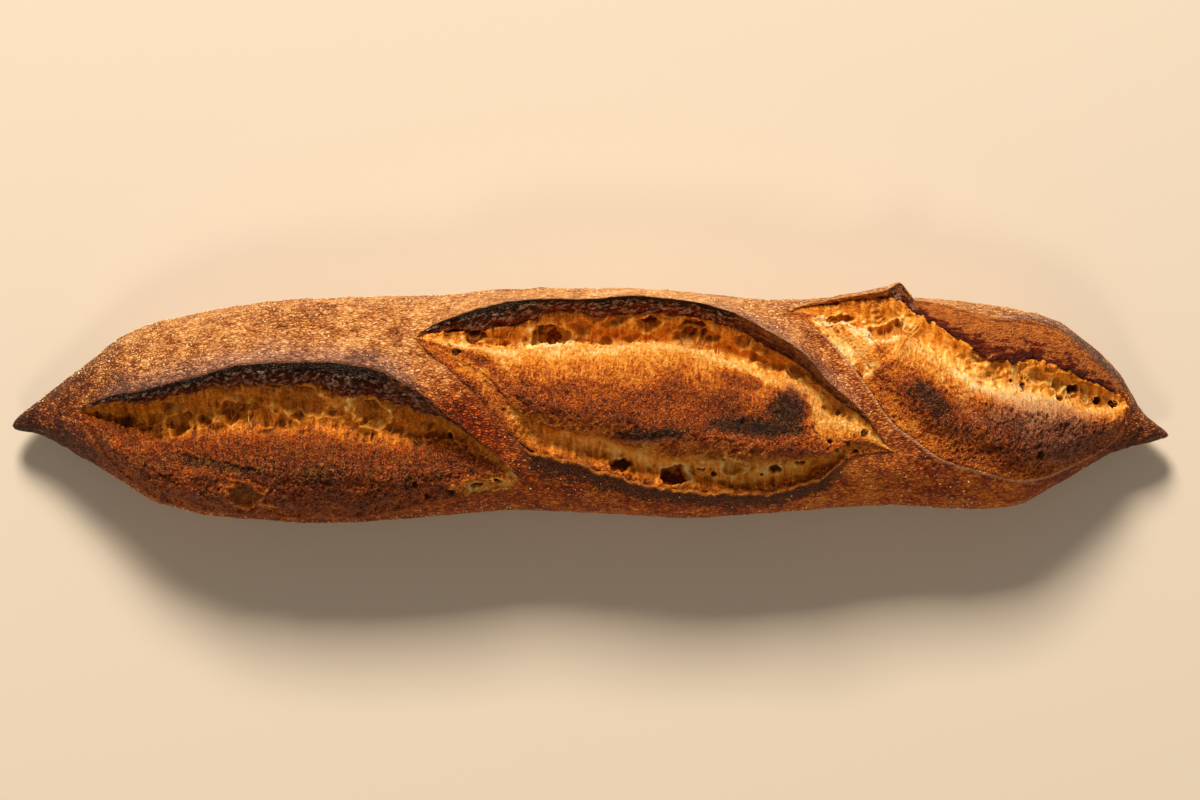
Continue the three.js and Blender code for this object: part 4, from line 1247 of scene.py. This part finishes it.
def baked_crust():
    """Baked wheat crust: a dry skin of small leathery cells drawn out along the loaf, gold to reddish brown,
    with painted shade in its creases and a painted darker, redder brown on its -Y side, and a grey bloom
    where it scorched; its cut faces are folded, glossy and black above and maroon below, with painted
    highlights on their folds."""
    material, tree, shader = new_material("baked_wheat_crust", 0.46, 0.2)
    place = add(tree, "ShaderNodeTexCoord", output="Object")
    names = (*FIELDS, "bake", "crease", "shaded")
    field = {name: add(tree, ATTRIBUTE, attribute_name=name, output="Fac") for name in names}
    mottle = {"Vector": place, "Scale": per_metre(1.5), "Detail": 3.0, "Roughness": 0.65}
    mottle = add(tree, NOISE, mottle)
    fine = add(tree, NOISE, {"Vector": place, "Scale": per_metre(0.5), "Detail": 2.0, "Roughness": 0.6})
    broad = add(tree, NOISE, {"Vector": place, "Scale": per_metre(6.0), "Detail": 2.0})

    # The leathery cells and the creases between them.
    bent = add(tree, NOISE, {"Vector": place, "Scale": per_metre(3.0), "Detail": 1.0}, output=1)
    bent = add(tree, VECTOR, {0: bent, 1: (1.6 * MM,) * 3, 2: place}, operation="MULTIPLY_ADD")
    drawn = add(tree, "ShaderNodeMapping", {"Vector": bent, "Scale": (0.4, 1.0, 1.0)})
    crease = add(tree, CELLS, {"Vector": drawn, "Scale": per_metre(0.8)}, feature="DISTANCE_TO_EDGE")
    crease = add(tree, RANGE, {"Value": crease, "From Max": 0.28})
    cell = add(tree, CELLS, {"Vector": drawn, "Scale": per_metre(0.8)}, output=1)

    # The creases between the cells are painted darker, as shade in them.
    bake = field["bake"]
    for pattern, weight in ((mottle, 0.6), (fine, 0.4), (broad, 0.5), (cell, 0.36), (crease, -0.32)):
        bake = add(tree, MATH, {0: pattern, 1: weight, 2: bake}, operation="MULTIPLY_ADD")
    bake = add(tree, MATH, {0: bake, 1: 0.65}, operation="SUBTRACT")
    stops = [
        (0.0, "FFE8BE"), (0.2, "F6C684"), (0.4, "DA9A58"), (0.58, "AE6830"), (0.76, "703616"),
        (1.0, "35180C"),
    ]
    colour = add(tree, RAMP, {"Fac": bake}, stops=stops)

    # What lies over that colour, in order: how much of each layer shows, and its colour.
    layers = []

    # Painted shade: the -Y side, turned away from the key light, is painted a darker, redder brown, partly
    # its real harder bake.
    stops = [
        (0.0, "FFB040"), (0.25, "EE8412"), (0.45, "BC5200"), (0.65, "842A00"), (0.85, "501600"),
        (1.0, "2C0C02"),
    ]
    painted_shade_brown = add(tree, RAMP, {"Fac": bake}, stops=stops)
    layers.append((field["shaded"], painted_shade_brown))

    # The grey bloom of scorched flour beside the ears, broken up by the grain of the skin.
    scorch = add(tree, MATH, {0: fine, 1: 0.8, 2: field["scorch"]}, operation="MULTIPLY_ADD")
    scorch = add(tree, RANGE, {"Value": scorch, "From Min": 0.55, "From Max": 1.25, "To Max": 0.8})
    bloom = add(tree, RAMP, {"Fac": bake}, stops=[(0.2, "E2BAA2"), (0.5, "B48672"), (0.85, "5A4038")])
    layers.append((scorch, bloom))

    # Along the low lips the skin turns into toasted crumb without an edge.
    streaks = {"Vector": place, "Scale": per_metre(2.0), "Detail": 4.0, "Distortion": 1.2}
    streaks = add(tree, NOISE, streaks)
    gap = add(tree, MATH, {0: streaks, 1: 6.0, 2: field["rim_gap"]}, operation="MULTIPLY_ADD")
    merging = {"Value": gap, "From Min": 2.2, "From Max": 6.0, "To Min": 0.9, "To Max": 0.0}
    merging = add(tree, RANGE, merging)
    merging = add(tree, MATH, {0: merging, 1: field["merging"]}, operation="MULTIPLY")
    crumbly = add(tree, RAMP, {"Fac": fine}, stops=[(0.3, "5A2208"), (0.5, "9A4A12"), (0.7, "E09848")])
    layers.append((merging, crumbly))

    # The cut faces: orange brown in streaks where they stayed clear of the heat.
    drawn = add(tree, "ShaderNodeMapping", {"Vector": bent, "Scale": (0.25, 1.0, 1.0)})
    veins = add(tree, NOISE, {"Vector": drawn, "Scale": per_metre(1.5), "Detail": 4.0, "Roughness": 0.6})
    across = add(tree, MATH, {0: veins, 1: 1.8, 2: field["face_at"]}, operation="MULTIPLY_ADD")
    across = add(tree, MATH, {0: fine, 1: 0.3, 2: across}, operation="MULTIPLY_ADD")
    across = add(tree, MATH, {0: across, 1: 1.05}, operation="SUBTRACT")
    stops = [
        (0.0, "481408"), (0.16, "641F0C"), (0.28, "8C3E12"), (0.42, "BE7438"), (0.54, "944814"),
        (0.7, "CC7C36"), (0.86, "A4581A"), (1.0, "7A3A18"),
    ]
    browned = add(tree, RAMP, {"Fac": across}, stops=stops)
    layers.append((field["face"], browned))

    # Char: a crisp black edge along the ears, a ragged band under the burnt rim with gritty gold above it,
    # and faces that turn from maroon to black upwards.
    gap = add(tree, MATH, {0: streaks, 1: 1.6, 2: field["ear_gap"]}, operation="MULTIPLY_ADD")
    ear_edge = {"Value": gap, "From Min": 0.7, "From Max": 1.5, "To Min": 1.0, "To Max": 0.0}
    ear_edge = add(tree, RANGE, ear_edge)
    ear_edge = add(tree, MATH, {0: ear_edge, 1: field["ear_black"]}, operation="MULTIPLY")
    gap = add(tree, MATH, {0: streaks, 1: 19.0, 2: field["rim_gap"]}, operation="MULTIPLY_ADD")
    gap = add(tree, MATH, {0: fine, 1: 2.0, 2: gap}, operation="MULTIPLY_ADD")
    rim_edge = {"Value": gap, "From Min": 16.0, "From Max": 17.8, "To Min": 1.0, "To Max": 0.0}
    rim_edge = add(tree, RANGE, rim_edge)
    rim_edge = add(tree, MATH, {0: rim_edge, 1: field["rim_black"]}, operation="MULTIPLY")
    charred = add(tree, MATH, {0: ear_edge, 1: rim_edge}, operation="MAXIMUM")
    burnt = add(tree, RAMP, {"Fac": fine}, stops=[(0.35, "220A03"), (0.52, "5A260C"), (0.68, "A4602A")])
    layers.append((charred, burnt))
    gap = add(tree, MATH, {0: fine, 1: 2.4, 2: field["rim_gap"]}, operation="MULTIPLY_ADD")
    gilt = add(tree, RANGE, {"Value": gap, "From Min": 1.2, "From Max": 1.8, "To Min": 1.0, "To Max": 0.0})
    gilt = add(tree, MATH, {0: gilt, 1: field["rim_black"]}, operation="MULTIPLY")
    gold = add(tree, RAMP, {"Fac": mottle}, stops=[(0.35, "8A3E0C"), (0.6, "D88A30")])
    layers.append((gilt, gold))
    char = add(tree, MATH, {0: streaks, 1: 0.9, 2: field["char"]}, operation="MULTIPLY_ADD")
    char = add(tree, RANGE, {"Value": char, "From Min": 0.68, "From Max": 1.0})
    stops = [(0.0, "7A280E"), (0.16, "541C0E"), (0.45, "34140C"), (0.62, "1A0D08"), (1.0, "281A12")]
    glazed = add(tree, RAMP, {"Fac": across}, stops=stops)
    layers.append((char, glazed))

    # Painted highlights: the tops of the faces' folds and grit are painted a pinkish grey gloss, as glints
    # of light.
    painted_fold_glint = add(tree, MATH, {0: fine, 1: field["crease"]}, operation="ADD")
    painted_fold_glint = add(tree, RANGE, {"Value": painted_fold_glint, "From Min": 1.14, "From Max": 1.45, "To Max": 0.75})
    painted_fold_glint = add(tree, MATH, {0: painted_fold_glint, 1: char}, operation="MULTIPLY")
    layers.append((painted_fold_glint, srgb("E0B49E")))

    # A pale line along the right cut's low lip, and the sole, pale from the stone.
    pale = {"Value": field["rim_gap"], "From Min": 0.3, "From Max": 1.1, "To Min": 0.8, "To Max": 0.0}
    pale = add(tree, RANGE, pale)
    pale = add(tree, MATH, {0: pale, 1: field["pale"]}, operation="MULTIPLY")
    layers.append((pale, srgb("D9A57C")))
    sole = add(tree, MATH, {0: field["sole"], 1: 0.7}, operation="MULTIPLY")
    layers.append((sole, srgb("A06A34")))
    for share, over in layers:
        colour = add(tree, MIX, {0: share, 6: colour, 7: over}, output=2, data_type="RGBA")
    tree.links.new(colour, shader.inputs["Base Color"])

    shine = add(tree, RANGE, {"Value": char, "To Min": 0.5, "To Max": 0.28})
    tree.links.new(shine, shader.inputs["Roughness"])
    height = add(tree, MATH, {0: crease, 1: 0.45, 2: fine}, operation="MULTIPLY_ADD")
    height = add(tree, MATH, {0: mottle, 1: height}, operation="ADD")
    bump = add(tree, BUMP, {"Height": height, "Distance": 0.9 * MM, "Strength": 1.0})
    tree.links.new(bump, shader.inputs["Normal"])
    return material


def torn_crumb():
    """Torn and toasted crumb: a stiff web of gluten that light soaks into, cream to a painted amber glow
    where it lies sheltered in shade, painted darker inside its bubbles and pits, and golden to burnt brown
    and gritty where it swelled into the heat, with painted glints on its browned flakes."""
    material, tree, shader = new_material("toasted_torn_crumb", 0.34, 0.22)
    place = add(tree, "ShaderNodeTexCoord", output="Object")
    shader.inputs["Subsurface Weight"].default_value = 0.25
    shader.inputs["Subsurface Radius"].default_value = (3.0, 1.3, 0.4)
    shader.inputs["Subsurface Scale"].default_value = MM
    names = ("toast", "pit_shade", "sheltered", "ashen")
    field = {name: add(tree, ATTRIBUTE, attribute_name=name, output="Fac") for name in names}
    fine = add(tree, NOISE, {"Vector": place, "Scale": per_metre(0.5), "Detail": 2.0, "Roughness": 0.6})
    medium = add(tree, NOISE, {"Vector": place, "Scale": per_metre(1.6), "Detail": 3.0, "Roughness": 0.6})
    gritty = {"Value": field["toast"], "From Min": 0.2, "From Max": 0.6, "To Min": 0.35, "To Max": 1.15}
    gritty = add(tree, RANGE, gritty)
    speckle = add(tree, MATH, {0: fine, 1: 0.5}, operation="SUBTRACT")
    speckle = add(tree, MATH, {0: speckle, 1: gritty}, operation="MULTIPLY")
    toast = add(tree, MATH, {0: speckle, 1: field["toast"]}, operation="ADD")
    toast = add(tree, MATH, {0: medium, 1: 0.36, 2: toast}, operation="MULTIPLY_ADD")
    toast = add(tree, MATH, {0: toast, 1: 0.18}, operation="SUBTRACT")
    stops = [
        (0.0, "FFECC0"), (0.13, "FAD68C"), (0.27, "EBA746"), (0.43, "CE781C"), (0.58, "9C420C"),
        (0.76, "682406"), (1.0, "2C1006"),
    ]
    colour = add(tree, RAMP, {"Fac": toast}, stops=stops)

    # Where it browned, golden flecks a fraction of a millimetre across are painted on as glints off its
    # curled flakes.
    painted_glint = {"Vector": place, "Scale": per_metre(0.7), "Detail": 2.0, "Distortion": 2.0}
    painted_glint = add(tree, RANGE, {"Value": add(tree, NOISE, painted_glint), "From Min": 0.56, "From Max": 0.66})
    browner = add(tree, RANGE, {"Value": field["toast"], "From Min": 0.3, "From Max": 0.6, "To Max": 0.8})
    painted_glint = add(tree, MATH, {0: painted_glint, 1: browner}, operation="MULTIPLY")

    # Crumb sheltered by an ear or a lip lies in their shade, yet is painted a bright, deep amber: a painted
    # glow that stands in for light let through the damp crumb.
    stops = [
        (0.0, "FFE39C"), (0.2, "F5B852"), (0.42, "DE8A20"), (0.62, "B2600C"), (0.8, "6E3008"),
        (1.0, "301408"),
    ]
    amber = add(tree, RAMP, {"Fac": toast}, stops=stops)
    # Painted shade inside bubbles and pits: the deeper the hollow, the darker and murkier the colour.
    deep = add(tree, MATH, {0: field["pit_shade"], 1: 0.85}, operation="MULTIPLY")
    stops = [(0.2, "B47E2C"), (0.55, "7E4C14"), (0.9, "2E1206")]
    painted_pit_shade = add(tree, RAMP, {"Fac": field["pit_shade"]}, stops=stops)
    ashen = add(tree, MATH, {0: field["ashen"], 1: 0.68}, operation="MULTIPLY")
    stops = [(0.3, "B48670"), (0.6, "6E463A"), (0.85, "2E1C16"), (1.0, "1C120E")]
    ash = add(tree, RAMP, {"Fac": toast}, stops=stops)
    layers = ((painted_glint, srgb("D88A44")), (field["sheltered"], amber), (deep, painted_pit_shade), (ashen, ash))
    for share, over in layers:
        colour = add(tree, MIX, {0: share, 6: colour, 7: over}, output=2, data_type="RGBA")
    tree.links.new(colour, shader.inputs["Base Color"])
    height = add(tree, MATH, {0: medium, 1: 1.2, 2: fine}, operation="MULTIPLY_ADD")
    rough = add(tree, RANGE, {"Value": field["sheltered"], "To Min": 1.0, "To Max": 0.45})
    bump = add(tree, BUMP, {"Height": height, "Distance": 1.0 * MM, "Strength": rough})
    tree.links.new(bump, shader.inputs["Normal"])
    return material


def drawn_gluten():
    """Strands of gluten: dried to a clear, glossy gold that catches the light as bright hairs."""
    material, tree, shader = new_material("drawn_gluten", 0.3, 0.5)
    tint = add(tree, ATTRIBUTE, attribute_name="tint", output="Fac")
    stops = [(0.0, "A85A12"), (0.5, "CC7E28"), (1.0, "F0B860")]
    tree.links.new(add(tree, RAMP, {"Fac": tint}, stops=stops), shader.inputs["Base Color"])
    return material


def semolina_grain():
    """Toasted semolina: hard, slightly glassy grains from cream to tan, which catch the light as specks."""
    material, tree, shader = new_material("toasted_semolina", 0.35, 0.5)
    tint = add(tree, ATTRIBUTE, attribute_name="tint", output="Fac")
    stops = [(0.0, "C8924E"), (0.6, "E8BC78"), (1.0, "FFEECA")]
    tree.links.new(add(tree, RAMP, {"Fac": tint}, stops=stops), shader.inputs["Base Color"])
    return material


# ---- Studio ------------------------------------------------------------------------------------------

# The studio, in metres and watts.  The camera hangs straight over the loaf, as in the photograph.
FLOOR_HALF = 3.0
AIM = (0.0, 0.0, 0.03)
LIGHTS = {  # place, size, energy and colour
    "key": ((-0.3, 1.9, 1.6), 0.7, 98.0, "FFE8CC"),
    "fill": ((-0.3, -1.5, 1.9), 0.6, 10.0, "FFE2BC"),
}
SURROUND = ("F0DFCB", 0.2)
CAMERA_PLACE = (0.003, 0.0006, 1.426)
LENS = 135.0
SENSOR = 36.0


def make_floor():
    """A plain pale floor."""
    mesh = bpy.data.meshes.new("floor")
    corners = [(x * FLOOR_HALF, y * FLOOR_HALF, 0) for x, y in ((-1, -1), (1, -1), (1, 1), (-1, 1))]
    mesh.from_pydata(corners, [], [(0, 1, 2, 3)])
    floor = bpy.data.objects.new("floor", mesh)
    bpy.context.scene.collection.objects.link(floor)
    material, _, shader = new_material("pale_paper", 0.8, 0.2)
    shader.inputs["Base Color"].default_value = srgb("D8D5CF")
    mesh.materials.append(material)


def add_light(name, place, size, energy, colour):
    """A square area light aimed at the loaf."""
    light = bpy.data.lights.new(name, "AREA")
    light.size = size
    light.energy = energy
    light.color = srgb(colour)[:3]
    made = bpy.data.objects.new(name, light)
    made.location = place
    aim = Vector(AIM) - Vector(place)
    made.rotation_euler = aim.to_track_quat("-Z", "Y").to_euler()
    bpy.context.scene.collection.objects.link(made)


def make_studio():
    """A warm key from the ears' side, a weak fill from above and a pale surround, and the camera."""
    for name, light in LIGHTS.items():
        add_light(name, *light)
    world = bpy.data.worlds.new("studio")
    world.use_nodes = True
    background = world.node_tree.nodes["Background"]
    colour, strength = SURROUND
    background.inputs["Color"].default_value = srgb(colour)
    background.inputs["Strength"].default_value = strength
    bpy.context.scene.world = world
    bpy.context.scene.view_settings.view_transform = "Standard"
    lens = bpy.data.cameras.new("camera")
    lens.lens = LENS
    lens.sensor_width = SENSOR
    camera = bpy.data.objects.new("camera", lens)
    camera.location = CAMERA_PLACE
    bpy.context.scene.collection.objects.link(camera)
    bpy.context.scene.camera = camera


# ---- The scene ---------------------------------------------------------------------------------------

crumb_finish = torn_crumb()
crumbs = {name: Crumb(name) for name in CUTS}
finished = [(make_crust(), baked_crust()), (make_semolina(), semolina_grain())]
finished += [(make_crumb(name, crumb), crumb_finish) for name, crumb in crumbs.items()]
finished += [(make_strands(crumbs), drawn_gluten())]
for piece, finish in finished:
    piece.data.materials.append(finish)
    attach(piece, "root")
    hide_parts("baguette")
make_floor()
make_studio()
